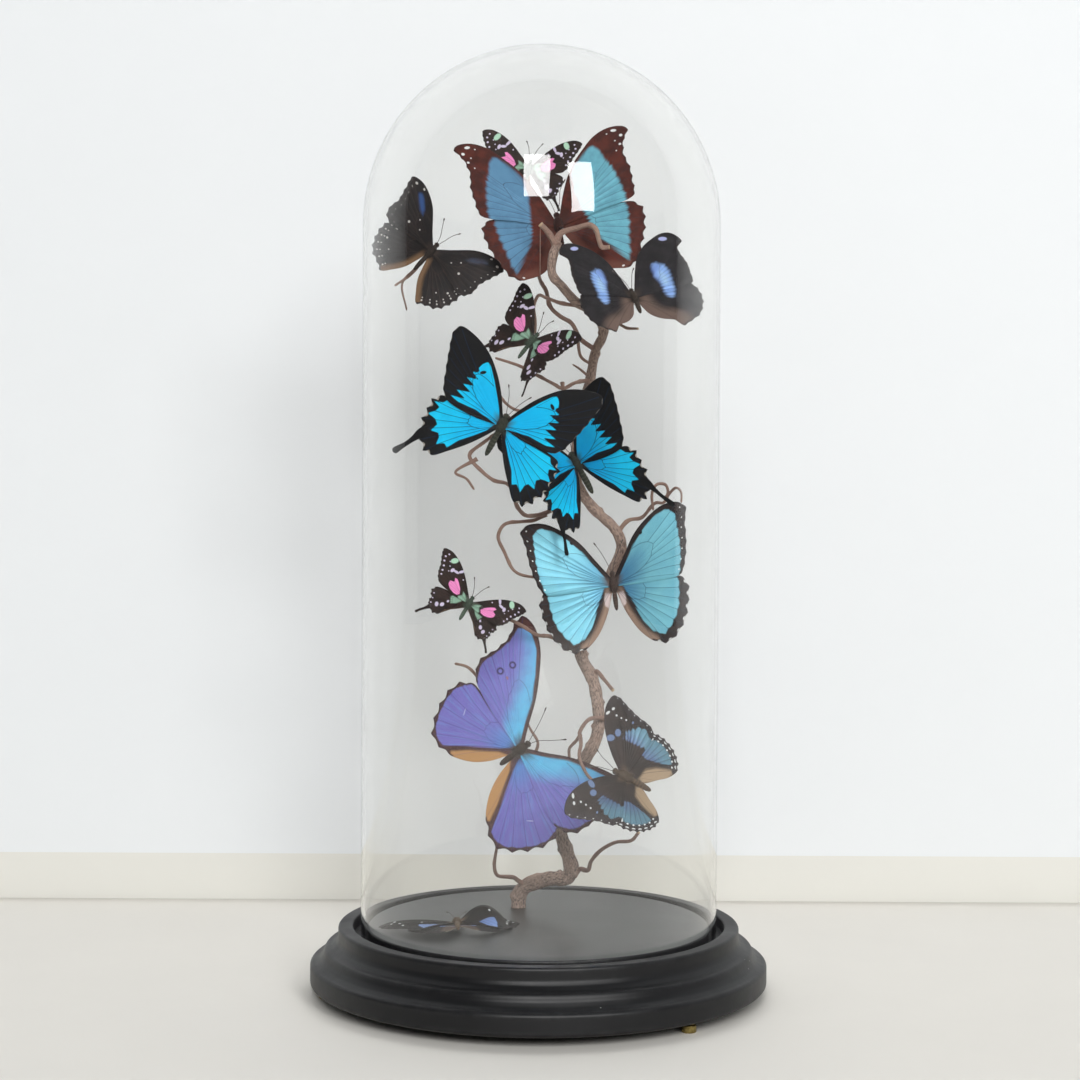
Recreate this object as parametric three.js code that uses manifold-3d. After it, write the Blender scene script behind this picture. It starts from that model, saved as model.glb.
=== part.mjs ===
// A tall glass dome on a turned black base, holding butterflies on a twisted branch. Millimetres, +Z up.
// The origin is under the centre of the base, at the level that the feet stand on, and the front faces -Y.
import * as THREE from 'three';
import { mergeVertices } from 'three/addons/utils/BufferGeometryUtils.js';
import Module from 'manifold-3d';

const wasm = await Module();
wasm.setup();

// ---- Driving dimensions ----
const GAP = 0.3; // left between pieces that touch
const BASE_RADIUS = 150;
const FOOT_HEIGHT = 7;
const FOOT_RADIUS = 5;
const FOOT_CIRCLE = 140;
const FOOT_COUNT = 3;
const FIRST_FOOT_ANGLE = -49; // degrees from +X, towards the front at the right
const BASE_TOP = 44.5;
const RIM_RADIUS = 131.7;
const GROOVE_OUTER = 122.1;
const GROOVE_INNER = 112.4;
const GROOVE_DEPTH = 8;
const DOME_RADIUS = 117.1;
const GLASS_THICKNESS = 2.5;
const DOME_CENTRE_HEIGHT = 502.5; // where the straight wall meets the round top
const BASE_SEGMENTS = 32;
const DOME_SEGMENTS = 32;
const DOME_ARC_STEPS = 4;

const WING_THICKNESS = 0.7;
const WING_SPACE = 0.1; // between a forewing and the hindwing under it
const PIN_RADIUS = 0.6;
const LEG_PEG_RADIUS = 2;
const ANTENNA_RADIUS = 0.4;
const ANTENNA_SIDES = 3;
const PIN_SIDES = 4;
const BODY_SIDES = 5;
const FOOT_SIDES = 10;
const STEM_SIDES = 6;
const TWIG_SIDES = 5;
const FRAMES = 400; // places along a curve where its turning frame is worked out
const STEM_STEP = 9.5; // length of one straight stretch of the faceted stem
const TWIG_STEP = 11;
const LARGEST_CRUMBS = 2; // cubic mm that a cut may leave loose beside a branch

// ---- Helpers ----
const radians = THREE.MathUtils.degToRad;
const vector = (point) => new THREE.Vector3(...point);

// A closed geometry as a solid that can be joined and cut.
function solid(geometry) {
  const bare = geometry.clone();
  bare.deleteAttribute('normal');
  bare.deleteAttribute('uv');
  const merged = mergeVertices(bare, 1e-4);
  return new wasm.Manifold(new wasm.Mesh({
    numProp: 3,
    vertProperties: merged.attributes.position.array,
    triVerts: new Uint32Array(merged.index.array),
  }));
}

// A joined or cut solid as a geometry again.
function geometryOf(body) {
  const mesh = body.getMesh();
  const geometry = new THREE.BufferGeometry();
  geometry.setAttribute('position', new THREE.BufferAttribute(mesh.vertProperties, mesh.numProp));
  geometry.setIndex(new THREE.BufferAttribute(mesh.triVerts, 1));
  geometry.computeVertexNormals();
  return geometry;
}

const join = (bodies) => bodies.reduce((all, body) => all.add(body));

// Of a solid that a cut has parted, the largest piece. The others may only be crumbs of the cut.
function largest(body) {
  const [first, ...others] = body.decompose().sort((a, b) => b.volume() - a.volume());
  const lost = others.reduce((sum, crumb) => sum + crumb.volume(), 0);
  if (lost > LARGEST_CRUMBS) throw new Error(`a side limb misses its branch, ${lost.toFixed(1)} cubic mm`);
  return first;
}

const group = new THREE.Group();

function addPiece(name, geometry, material) {
  const mesh = new THREE.Mesh(geometry, material);
  mesh.name = name;
  group.add(mesh);
  return mesh;
}

const paint = (color, roughness, metalness = 0) => (
  new THREE.MeshStandardMaterial({ color, roughness, metalness })
);

// ---- Materials ----
const materials = {
  blackWood: paint(0x151516, 0.45),
  brass: paint(0xb08a45, 0.35, 1),
  glass: new THREE.MeshStandardMaterial({ color: 0xe6efee, roughness: 0.03, transparent: true, opacity: 0.3 }),
  bark: paint(0x7d685c, 0.8),
};

// ---- Base: a moulded disc turned from one piece of wood, with a groove for the dome ----
function baseGeometry() {
  const shape = new THREE.Path();
  const bottom = FOOT_HEIGHT;
  const floorOfGroove = BASE_TOP - GROOVE_DEPTH;
  shape.moveTo(0, bottom);
  shape.lineTo(BASE_RADIUS - 1.5, bottom);
  shape.lineTo(BASE_RADIUS, bottom + 1.5); // lower band
  shape.lineTo(BASE_RADIUS, 20);
  shape.lineTo(BASE_RADIUS - 1.2, 21.4);
  shape.lineTo(BASE_RADIUS - 3.5, 22);
  shape.lineTo(BASE_RADIUS - 6.3, 23.6); // shallow cove
  shape.lineTo(BASE_RADIUS - 8.6, 26.6);
  shape.lineTo(BASE_RADIUS - 9.2, 29);
  shape.lineTo(BASE_RADIUS - 10.2, 30.6); // ridge
  shape.lineTo(BASE_RADIUS - 14, 31.8);
  shape.lineTo(BASE_RADIUS - 17, 34);
  shape.lineTo(RIM_RADIUS, 36.6);
  shape.lineTo(RIM_RADIUS, BASE_TOP - 1); // rim band
  shape.lineTo(RIM_RADIUS - 1, BASE_TOP);
  shape.lineTo(GROOVE_OUTER, BASE_TOP);
  shape.lineTo(GROOVE_OUTER, floorOfGroove);
  shape.lineTo(GROOVE_INNER, floorOfGroove);
  shape.lineTo(GROOVE_INNER, BASE_TOP);
  shape.lineTo(0, BASE_TOP);
  return new THREE.LatheGeometry(shape.getPoints(), BASE_SEGMENTS).rotateX(Math.PI / 2);
}

// ---- Dome: a straight wall and a half-sphere, open below, standing in the groove ----
function domeGeometry() {
  const outline = new THREE.Path();
  const foot = BASE_TOP - GROOVE_DEPTH + GAP;
  const inner = DOME_RADIUS - GLASS_THICKNESS;
  outline.moveTo(inner, foot);
  outline.lineTo(DOME_RADIUS, foot);
  outline.lineTo(DOME_RADIUS, DOME_CENTRE_HEIGHT);
  outline.absarc(0, DOME_CENTRE_HEIGHT, DOME_RADIUS, 0, Math.PI / 2);
  outline.lineTo(0, DOME_CENTRE_HEIGHT + inner);
  outline.absarc(0, DOME_CENTRE_HEIGHT, inner, Math.PI / 2, 0, true);
  outline.lineTo(inner, foot);
  return new THREE.LatheGeometry(outline.getPoints(DOME_ARC_STEPS), DOME_SEGMENTS).rotateX(Math.PI / 2);
}

function footGeometry() {
  const height = FOOT_HEIGHT - GAP;
  return new THREE.CylinderGeometry(FOOT_RADIUS, FOOT_RADIUS, height, FOOT_SIDES)
    .rotateX(Math.PI / 2)
    .translate(0, 0, height / 2);
}

// ---- Branch ----
const curveThrough = (points) => new THREE.CatmullRomCurve3(points.map(vector), false, 'centripetal');

// A tapering round limb: a cylinder whose rings are moved along a stretch of a curve.
function limb(curve, startRadius, endRadius, { sides = TWIG_SIDES, step = TWIG_STEP, from = 0, to = 1 } = {}) {
  const steps = Math.max(2, Math.round(curve.getLength() * (to - from) / step));
  const frames = curve.computeFrenetFrames(FRAMES);
  const geometry = new THREE.CylinderGeometry(1, 1, 1, sides, steps);
  const position = geometry.attributes.position;
  for (let i = 0; i < position.count; i += 1) {
    const along = THREE.MathUtils.clamp(position.getY(i) + 0.5, 0, 1);
    const share = from + (to - from) * along;
    const ring = Math.round(share * FRAMES);
    const radius = THREE.MathUtils.lerp(startRadius, endRadius, along);
    const place = curve.getPointAt(share)
      .addScaledVector(frames.normals[ring], radius * position.getX(i))
      .addScaledVector(frames.binormals[ring], -radius * position.getZ(i));
    position.setXYZ(i, place.x, place.y, place.z);
  }
  return solid(geometry);
}

// The main stem, from its foot on the floor disc to the fork at the top.
const stemPoints = [
  [-14, 48, 42], [-13, 47, 54], [-8, 45, 60], [6, 39, 66], [19, 32, 68], [22, 29, 75], [19, 25, 87], [15, 22, 98],
  [14, 22, 112], [19, 24, 129], [30, 24, 148], [38, 23, 164], [40, 23, 177], [36, 25, 202], [28, 27, 220],
  [32, 29, 243], [48, 31, 274], [55, 31, 291], [51, 31, 303], [36, 32, 318], [25, 36, 334], [24, 40, 357],
  [26, 38, 381], [32, 27, 400], [36, 12, 422], [41, 2, 435], [34, -6, 446], [22, -12, 453], [13, -18, 462],
  [7, -22, 469], [7, -24, 479], [10, -20, 490],
];
const stem = curveThrough(stemPoints);
const STEM_FOOT_RADIUS = 4.2;
const STEM_TOP_RADIUS = 3.1;
const stemRadius = (u) => THREE.MathUtils.lerp(STEM_FOOT_RADIUS, STEM_TOP_RADIUS, u);

// The main forks split the stem into its lengths: each is a share of the whole curve.
const STEM_LENGTHS = {
  branch_foot: [0, 0.125],
  branch_lower_stem: [0.125, 0.355],
  branch_middle_stem: [0.355, 0.575],
  branch_upper_stem: [0.575, 0.83],
  branch_top_stem: [0.83, 1],
};

// Side branches, each a list of limbs: route, radius where it starts, radius at its tip.
const TWIGS = {
  twig_low_right: [
    [[[24, 29, 70], [28, 27, 75], [33, 22, 75], [35, 17, 82], [41, 12, 90], [51, 5, 97], [61, 0, 99], [66, -2, 105]],
      2.1, 1.3],
  ],
  twig_low_left: [
    [[[-8, 45, 60], [-14, 42, 64], [-17, 38, 67], [-28, 30, 70], [-30, 27, 76], [-28, 26, 92], [-26, 27, 108]], 2.1, 1],
  ],
  twig_side_stub: [
    [[[37, 25, 198], [38, 23, 209], [43, 18, 204], [49, 11, 197]], 2, 1.4],
  ],
  twig_to_charaxes: [
    [[[40, 23, 176], [43, 17, 178], [33, 9, 178], [27, 3, 171], [27, -8, 167], [27, -18, 164], [26, -28, 157],
      [33, -38, 145], [42, -45, 143], [50, -48, 147]], 2, 1.2],
    [[[27, -2, 169], [24, 3, 164], [20, 6, 159], [20, 8, 152]], 1.4, 1.2],
  ],
  twig_to_violet_morpho: [
    [[[22, 24, 136], [8, 22, 142], [-6, 20, 150], [-15, 18, 156], [-24, 18, 166]], 1.9, 1.3],
  ],
  twig_to_left_swordtail: [
    [[[28, 27, 220], [18, 20, 228], [7, 8, 233], [-3, -13, 236], [-12, -18, 242], [-20, -18, 246], [-33, -17, 252],
      [-46, -16, 256]], 2.3, 1.1],
  ],
  twig_right_curls: [
    [[[53, 31, 303], [59, 28, 310], [68, 24, 312], [77, 18, 322], [82, 16, 322], [85, 14, 328], [83, 12, 334],
      [77, 10, 334], [74, 10, 328], [75, 12, 317]], 1.8, 1.1],
    [[[84, 15, 326], [90, 8, 332], [93, 5, 329], [93, 3, 322]], 1.2, 0.9],
  ],
  twig_left: [
    [[[24, 37, 334], [13, 27, 320], [4, 22, 315], [-5, 12, 313], [-11, 0, 314], [-16, -8, 321], [-17, -15, 329],
      [-22, -18, 334], [-30, -21, 336], [-38, -23, 342], [-46, -24, 352], [-36, -25, 361], [-26, -27, 368]], 2.1, 1.4],
    [[[-41, -24, 350], [-55, -24, 341], [-48, -22, 337], [-43, -20, 330]], 1.5, 1],
    [[[4, 22, 314], [-4, 21, 310], [-12, 18, 309], [-24, 12, 307], [-28, 10, 299], [-24, 12, 289], [-17, 16, 276],
      [-6, 22, 272], [4, 26, 273]], 1.7, 1.3],
  ],
  twig_to_middle_swordtail: [
    [[[28, -9, 450], [13, -7, 452], [3, -3, 456], [-2, 3, 458], [-5, 5, 451], [-4, 5, 441], [-4, 3, 433]], 1.7, 1.2],
  ],
  twig_behind_top: [
    [[[36, 11, 423], [26, 8, 430], [20, 6, 440], [12, 6, 445], [6, 8, 451], [3, 12, 462], [-1, 18, 470], [-3, 30, 487],
      [-5, 42, 509], [-8, 54, 532], [-9, 55, 547]], 2.1, 1.2],
    [[[-3, 29, 486], [-28, 24, 481], [-48, 18, 479], [-66, 13, 480], [-75, 9, 483], [-86, 6, 472], [-97, 4, 464]],
      1.5, 1],
    [[[-84, 7, 475], [-92, 6, 466], [-89, 5, 448]], 1.2, 0.8],
    [[[24, 8, 433], [26, 10, 419], [33, 17, 414]], 1.3, 1.2],
  ],
  twig_across: [
    [[[33, 25, 404], [22, 10, 401], [14, 4, 397], [8, 2, 400], [-2, -2, 405], [-14, -6, 411], [-30, -10, 416]],
      1.9, 1.1],
    [[[14, 5, 401], [15, 1, 390], [16, -6, 380]], 1.5, 1.1],
  ],
  twig_to_hook_tip: [
    [[[39, 4, 437], [46, -6, 444], [53, -16, 449], [57, -25, 452]], 2, 1.3],
    [[[46, -6, 443], [55, -11, 436], [63, -15, 435]], 1.4, 1.1],
  ],
  branch_top_fork: [
    [[[9, -21, 489], [4, -23, 496], [-1, -25, 501]], 3.3, 2.7],
    [[[9, -21, 489], [13, -18, 496], [23, -16, 500], [31, -15, 502], [36, -16, 497], [39, -17, 488]], 2.9, 1.9],
  ],
};

const twigLimbs = Object.fromEntries(Object.entries(TWIGS).map(([name, limbs]) => [
  name,
  limbs.map(([points, startRadius, endRadius]) => ({ curve: curveThrough(points), startRadius, endRadius })),
]));

const underFloor = solid(new THREE.CylinderGeometry(BASE_RADIUS, BASE_RADIUS, BASE_TOP + GAP, BASE_SEGMENTS)
  .rotateX(Math.PI / 2)
  .translate(0, 0, (BASE_TOP + GAP) / 2));

function stemLength([from, to]) {
  const clear = GAP / stem.getLength();
  const start = from === 0 ? 0 : from + clear;
  const length = limb(stem, stemRadius(from), stemRadius(to), { sides: STEM_SIDES, step: STEM_STEP, from: start, to });
  return length.subtract(underFloor);
}

const stemTip = stem.getPointAt(1);
const clearance = GAP / Math.cos(Math.PI / STEM_SIDES); // keeps the whole gap at the flats too
const stemWithClearance = join([
  ...Object.values(STEM_LENGTHS).map(([from, to]) => limb(
    stem,
    stemRadius(from) + clearance,
    stemRadius(to) + clearance,
    { sides: STEM_SIDES, step: STEM_STEP, from, to },
  )),
  solid(new THREE.SphereGeometry(STEM_TOP_RADIUS + 2 * GAP, 8, 6).translate(stemTip.x, stemTip.y, stemTip.z)),
]);

function twig(limbs) {
  return join(limbs.map(({ curve, startRadius, endRadius }) => limb(curve, startRadius, endRadius)));
}

// ---- Butterflies: +X is the right wing, +Y the head and +Z the upper side, all four wings hinged along Y ----
const SPECIES = {
  banded_morpho: {
    colour: 0x5f2d23,
    forewing: [[3, 5], [12, 23], [23, 38], [34, 47], [45, 54], [56, 56], [65, 53], [67, 49], [62, 42], [58, 31],
      [58, 21], [56, 11], [52, -1], [28, -2], [2, -1]],
    hindwing: [[2, 3], [28, 3], [50, 0], [55, -6], [54, -16], [51, -25], [46, -35], [41, -44], [34, -47], [27, -45],
      [20, -42], [14, -37], [9, -27], [4, -12], [2, -4]],
    head: 11, tail: -21, thorax: 3.4,
  },
  swordtail: {
    colour: 0x30231f,
    forewing: [[1.5, 3], [9, 10], [16, 16], [23, 20], [31, 22], [36, 20], [35, 15], [31.5, 8], [30, 3], [26, -3],
      [14, -4], [1.5, -1]],
    hindwing: [[1.5, 1], [12, -1], [25, -4], [27, -8], [25, -13], [25, -17], [22, -20], [29, -29], [27.5, -30.5],
      [19, -23], [15, -21], [12, -15], [7, -10], [1.5, -4]],
    head: 7, tail: -14, thorax: 2.4,
  },
  brown_nymph: {
    colour: 0x2b201d,
    forewing: [[1.5, 4], [11, 12], [20, 20.5], [29, 25], [37, 26.5], [43.5, 24], [42, 15], [40, 6], [41, -1], [39, -7],
      [34, -9], [18, -4], [1.5, -1]],
    hindwing: [[1.5, 1], [16, -3], [33, -6], [36, -13], [35, -20], [32, -27], [28, -31], [22, -33], [17, -35],
      [11, -28], [6, -20], [1.5, -6]],
    head: 8, tail: -17, thorax: 2.8,
  },
  hook_tip: {
    colour: 0x3b3637,
    forewing: [[1.5, 3], [9, 22], [14, 31], [21, 38], [29, 42], [36, 44], [42, 42], [46, 33], [42, 30], [41, 24],
      [42, 13], [41, 4], [39, -4], [20, -3], [1.5, -1]],
    hindwing: [[1.5, 2], [20, 0], [38, -2], [41, -8], [41, -17], [38, -25], [34, -30], [28, -33], [22, -35],
      [19, -29], [11, -24], [5, -17], [1.5, -5]],
    head: 8, tail: -14, thorax: 2.8,
  },
  ulysses: {
    colour: 0x1e9ce6,
    forewing: [[2, 6], [11, 21], [19, 31], [29, 40], [42, 46], [53, 47], [56, 42], [53, 28], [49, 15], [45, 4],
      [40, -1], [20, -3], [2, -1]],
    hindwing: [[2, 3], [24, 1], [44, -1], [49, -6], [49, -15], [49, -23], [46, -29], [50, -41], [55, -47], [56, -53],
      [52, -53], [48, -45], [43, -36], [37, -41], [31, -40], [24, -33], [14, -22], [6, -11], [2, -4]],
    head: 9, tail: -24, thorax: 3.2, tailPoints: [7, 11],
  },
  sky_morpho: {
    colour: 0x79c2dc,
    forewing: [[2, 6], [11, 18], [20, 30], [31, 39], [43, 45], [53, 45], [58, 41], [56, 31], [55, 20], [52, 7],
      [47, -2], [26, -3], [2, -1]],
    hindwing: [[2, 3], [26, 1], [47, -1], [51, -7], [50, -17], [48, -25], [44, -33], [38, -40], [31, -43],
      [23, -40], [15, -33], [9, -24], [4, -13], [2, -4]],
    head: 10, tail: -17, thorax: 3.2,
  },
  violet_morpho: {
    colour: 0x6257b8,
    forewing: [[2, 5], [11, 15], [21, 27], [33, 38], [47, 48], [61, 52], [70, 49], [70, 43], [64, 33], [62, 22],
      [62, 10], [57, 3], [51, 0], [27, -2], [2, -1]],
    hindwing: [[2, 3], [30, 1], [54, 1], [60, -4], [62, -13], [60, -22], [55, -33], [50, -40], [43, -46], [33, -46],
      [24, -42], [13, -33], [6, -22], [2, -10]],
    head: 9, tail: -17, thorax: 3.6,
  },
  charaxes: {
    colour: 0x54454c,
    forewing: [[1.5, 5], [9, 14], [18, 22], [27, 27], [36, 29], [44, 27], [45, 23], [42, 15], [39, 7], [37, -2],
      [33, -6], [16, -4], [1.5, -1]],
    hindwing: [[1.5, 2], [18, -2], [34, -5], [35, -12], [32, -20], [28, -25], [24, -28], [19, -29], [13, -26],
      [7, -19], [1.5, -12], [1.5, -5]],
    head: 9, tail: -19, thorax: 3,
  },
};

// Where each specimen sits: place of its thorax, turn about X (from facing front), Y and Z in degrees, lift of
// the left and right wings, forward sweep of the left and right forewings, size beside its species' outline, size
// of the left and right forewings and hindwings beside that, and the side, -1 left or 1 right, of a hindwing whose
// tail is broken off.
const SPECIMENS = {
  banded_morpho: {
    at: [11, 9, 504], turn: [-28, 3, 8], lift: [16, 16], sweep: [4, 12], size: 1.04,
    hindSize: [0.95, 1],
  },
  top_swordtail: {
    kind: 'swordtail', at: [-9, 44, 548], turn: [-16, -5, -12], lift: [13, 13], sweep: [-2, 3], size: 1,
    foreSize: [1, 0.97],
  },
  brown_nymph: { at: [-73, 0, 486], turn: [-9, 16, -40], lift: [21, 21], sweep: [0, -7], size: 1.01 },
  hook_tip: { at: [59, -36, 453], turn: [-39, 6, 17], lift: [15, 15], sweep: [7, 2], size: 0.98 },
  middle_swordtail: {
    kind: 'swordtail', at: [-6, -8, 427], turn: [-24, -31, -49], lift: [13, 13], sweep: [6, 1], size: 1.04,
    foreSize: [0.98, 1.04],
  },
  front_ulysses: {
    kind: 'ulysses', at: [-25, -38, 371], turn: [12, -10, -28], lift: [7, 7], sweep: [-1, 5], size: 0.97, lostTail: 1,
  },
  back_ulysses: {
    kind: 'ulysses', at: [24, 20, 348], turn: [8, 8, 29], lift: [41, 43], sweep: [0, 1], size: 1,
    hindSize: [0.88, 0.98],
  },
  sky_morpho: { at: [49, 14, 267], turn: [-8, -6, 7], lift: [16, 16], sweep: [0, 3], size: 1.01 },
  left_swordtail: {
    kind: 'swordtail', at: [-46, -27, 256], turn: [-29, 21, -26], lift: [11, 11], sweep: [5, -5], size: 0.97,
    foreSize: [1, 0.95], hindSize: [1, 0.92],
  },
  violet_morpho: {
    at: [-13, 4, 158], turn: [-4, -22, -55], lift: [11, 11], sweep: [4, -3], size: 1.05,
    foreSize: [1, 1.07], hindSize: [0.94, 1],
  },
  charaxes: { at: [54, -56, 149], turn: [-28, 20, 69], lift: [10, 10], sweep: [1, 0], size: 1.02, foreSize: [1.03, 1] },
  floor_charaxes: {
    kind: 'charaxes', at: [-53, -19, 49], turn: [-88, 0, 15], lift: [-2, 4], sweep: [-13, -15], size: 0.92,
  },
};
const RESTS_ON_FLOOR = 'floor_charaxes';

function wing(outline, side, { size, lift, sweep, level }) {
  const shape = new THREE.Shape(outline.map(([x, y]) => new THREE.Vector2(x * size, y * size)));
  const geometry = new THREE.ExtrudeGeometry(shape, { depth: WING_THICKNESS, bevelEnabled: false })
    .translate(0, 0, level)
    .rotateZ(radians(sweep))
    .rotateY(radians(-lift));
  const body = solid(geometry);
  return side > 0 ? body : body.mirror([1, 0, 0]);
}

function trunkOfBody({ head, tail, thorax }) {
  const profile = [
    [0, tail], [thorax * 0.6, tail * 0.6], [thorax * 0.5, -5], [thorax, -1.5], [thorax, 2.5],
    [thorax * 0.55, head - 2], [0, head],
  ].map(([radius, along]) => new THREE.Vector2(radius, along));
  return solid(new THREE.LatheGeometry(profile, BODY_SIDES));
}

function straightRod(start, end, radius, sides) {
  const line = new THREE.LineCurve3(start, end);
  const geometry = new THREE.CylinderGeometry(radius, radius, start.distanceTo(end), sides);
  const turn = new THREE.Quaternion().setFromUnitVectors(new THREE.Vector3(0, 1, 0), line.getTangent(0));
  const middle = line.getPoint(0.5);
  return solid(geometry.applyQuaternion(turn).translate(middle.x, middle.y, middle.z));
}

function antenna(side, { head, forewing }) {
  const reach = 0.36 * Math.max(...forewing.map(([x]) => x));
  const start = new THREE.Vector3(side * 0.6, head - 1.6, 0.4);
  const end = new THREE.Vector3(side * (0.6 + reach * 0.42), head + reach * 0.9, reach * 0.2);
  return straightRod(start, end, ANTENNA_RADIUS, ANTENNA_SIDES);
}

function butterfly(kind, { lift, sweep, lostTail, foreSize = [1, 1], hindSize = [1, 1] }) {
  const species = SPECIES[kind];
  const pieces = [trunkOfBody(species)];
  for (const side of [-1, 1]) {
    const which = side < 0 ? 0 : 1;
    const [firstLost, lastLost] = lostTail === side ? species.tailPoints : [Infinity, -Infinity];
    const hindwing = species.hindwing.filter((_, i) => i < firstLost || i > lastLost);
    pieces.push(wing(species.forewing, side, {
      size: foreSize[which], lift: lift[which], sweep: sweep[which], level: 0,
    }));
    pieces.push(wing(hindwing, side, {
      size: hindSize[which], lift: lift[which], sweep: 0, level: -WING_THICKNESS - WING_SPACE,
    }));
    pieces.push(antenna(side, species));
  }
  return join(pieces);
}

// The specimen's own frame in the dome.
function placement({ at, turn, size = 1 }) {
  const euler = new THREE.Euler(radians(90 + turn[0]), radians(turn[1]), radians(turn[2]), 'XYZ');
  const turned = new THREE.Quaternion().setFromEuler(euler);
  return new THREE.Matrix4().compose(vector(at), turned, vector([size, size, size]));
}

// Every limb that a specimen can be pinned to, with its local radius.
const carriers = [
  ...Object.values(twigLimbs).flat().map(({ curve, startRadius, endRadius }) => ({
    curve, radiusAt: (u) => THREE.MathUtils.lerp(startRadius, endRadius, u),
  })),
  { curve: stem, radiusAt: stemRadius },
];

// The mounting pin: from the thorax straight to the nearest limb, ending just short of its bark.
function mountingPin(at) {
  const thorax = vector(at);
  let nearest = { distance: Infinity };
  for (const { curve, radiusAt } of carriers) {
    const steps = Math.ceil(curve.getLength());
    for (let i = 0; i <= steps; i += 1) {
      const u = i / steps;
      const place = curve.getPointAt(u);
      const distance = place.distanceTo(thorax) - radiusAt(u);
      if (distance < nearest.distance) nearest = { distance, place };
    }
  }
  const towards = nearest.place.clone().sub(thorax).normalize();
  return straightRod(thorax, thorax.clone().addScaledVector(towards, nearest.distance - GAP), PIN_RADIUS, PIN_SIDES);
}

// What holds up the specimen that lies on the floor disc: its bent legs, as one short peg under the thorax.
function legPeg(at) {
  const thorax = vector(at);
  return straightRod(thorax, new THREE.Vector3(thorax.x, thorax.y, BASE_TOP + GAP), LEG_PEG_RADIUS, BODY_SIDES);
}

function specimen(name, pose) {
  const body = butterfly(pose.kind ?? name, pose).transform(placement(pose).elements);
  return body.add(name === RESTS_ON_FLOOR ? legPeg(pose.at) : mountingPin(pose.at));
}

// ---- The whole object ----
addPiece('base', baseGeometry(), materials.blackWood);
for (let i = 0; i < FOOT_COUNT; i += 1) {
  const angle = radians(FIRST_FOOT_ANGLE + i * 360 / FOOT_COUNT);
  const foot = addPiece(`foot_${i + 1}`, footGeometry(), materials.brass);
  foot.position.set(FOOT_CIRCLE * Math.cos(angle), FOOT_CIRCLE * Math.sin(angle), 0);
}
addPiece('glass_dome', domeGeometry(), materials.glass);
for (const [name, share] of Object.entries(STEM_LENGTHS)) {
  addPiece(name, geometryOf(stemLength(share)), materials.bark);
}
for (const [name, limbs] of Object.entries(twigLimbs)) {
  addPiece(name, geometryOf(largest(twig(limbs).subtract(stemWithClearance))), materials.bark);
}
for (const [name, pose] of Object.entries(SPECIMENS)) {
  const { colour } = SPECIES[pose.kind ?? name];
  addPiece(`butterfly_${name}`, geometryOf(specimen(name, pose)), paint(colour, 0.5));
}

export default group;
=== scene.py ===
"""A tall glass dome on a turned black base, with butterflies mounted along a twisted branch.

Lengths in the tables are millimetres, and become metres when a mesh is made.
"""

import math

import bmesh
import bpy
import numpy as np
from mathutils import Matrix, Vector


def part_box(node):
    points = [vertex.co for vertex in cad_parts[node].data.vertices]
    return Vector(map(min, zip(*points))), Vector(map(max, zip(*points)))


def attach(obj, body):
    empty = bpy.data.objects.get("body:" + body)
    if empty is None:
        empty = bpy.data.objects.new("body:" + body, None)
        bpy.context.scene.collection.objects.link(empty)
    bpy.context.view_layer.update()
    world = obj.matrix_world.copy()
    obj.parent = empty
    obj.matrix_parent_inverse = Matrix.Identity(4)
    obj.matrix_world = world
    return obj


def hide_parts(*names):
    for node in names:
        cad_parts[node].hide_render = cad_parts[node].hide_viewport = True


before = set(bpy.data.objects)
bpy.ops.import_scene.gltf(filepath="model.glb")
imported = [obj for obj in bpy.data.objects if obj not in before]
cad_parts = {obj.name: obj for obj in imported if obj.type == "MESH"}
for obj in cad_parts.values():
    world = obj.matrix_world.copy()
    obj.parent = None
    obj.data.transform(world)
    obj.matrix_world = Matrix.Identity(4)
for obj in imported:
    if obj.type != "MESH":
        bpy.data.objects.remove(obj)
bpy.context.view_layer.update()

bl_info = {
    "name": "Butterfly Dome",
    "version": (1, 0, 0),
    "blender": (4, 5, 0),
    "location": "3D View > Sidebar > Butterfly Dome",
    "description": "A glass dome on a turned base, with butterflies along a twisted branch",
    "category": "Add Mesh",
}

MM = 0.001
BODY = "root"
TURN = 2 * math.pi
ARC_SAMPLES = 24  # points worked out between two route points
SEED = 7
WELD_DISTANCE = 2e-6  # metres
BALL_ROWS = 10
BALL_SIDES = 12
SENSOR_WIDTH = 36
LENS = 2020 / 1080 * SENSOR_WIDTH  # a thing 1080 wide fills the view from 2020 away


# ---- Curves ----
def smooth_route(points):
    """A curve through the points: a cubic from each to the next, with centripetal Catmull-Rom tangents."""
    known = np.asarray(points, float)
    before = 2 * known[0] - known[1]
    after = 2 * known[-1] - known[-2]
    padded = np.vstack([before, known, after])
    gaps = np.sqrt(np.linalg.norm(np.diff(padded, axis=0), axis=1))[:, None]
    p0, p1, p2, p3 = padded[:-3], padded[1:-2], padded[2:-1], padded[3:]
    g0, g1, g2 = gaps[:-2], gaps[1:-1], gaps[2:]
    start = ((p1 - p0) / g0 - (p2 - p0) / (g0 + g1) + (p2 - p1) / g1) * g1
    end = ((p2 - p1) / g1 - (p3 - p1) / (g1 + g2) + (p3 - p2) / g2) * g1
    u = np.linspace(0, 1, ARC_SAMPLES, endpoint=False)[None, :, None]
    p1, p2, start, end = p1[:, None], p2[:, None], start[:, None], end[:, None]
    arcs = (2 * u**3 - 3 * u**2 + 1) * p1 + (u**3 - 2 * u**2 + u) * start
    arcs = arcs + (3 * u**2 - 2 * u**3) * p2 + (u**3 - u**2) * end
    return np.vstack([arcs.reshape(-1, known.shape[1]), known[-1:]])


def lengths_along(route):
    """Distance travelled along a route at each of its points."""
    return np.concatenate([[0], np.cumsum(np.linalg.norm(np.diff(route, axis=0), axis=1))])


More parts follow.
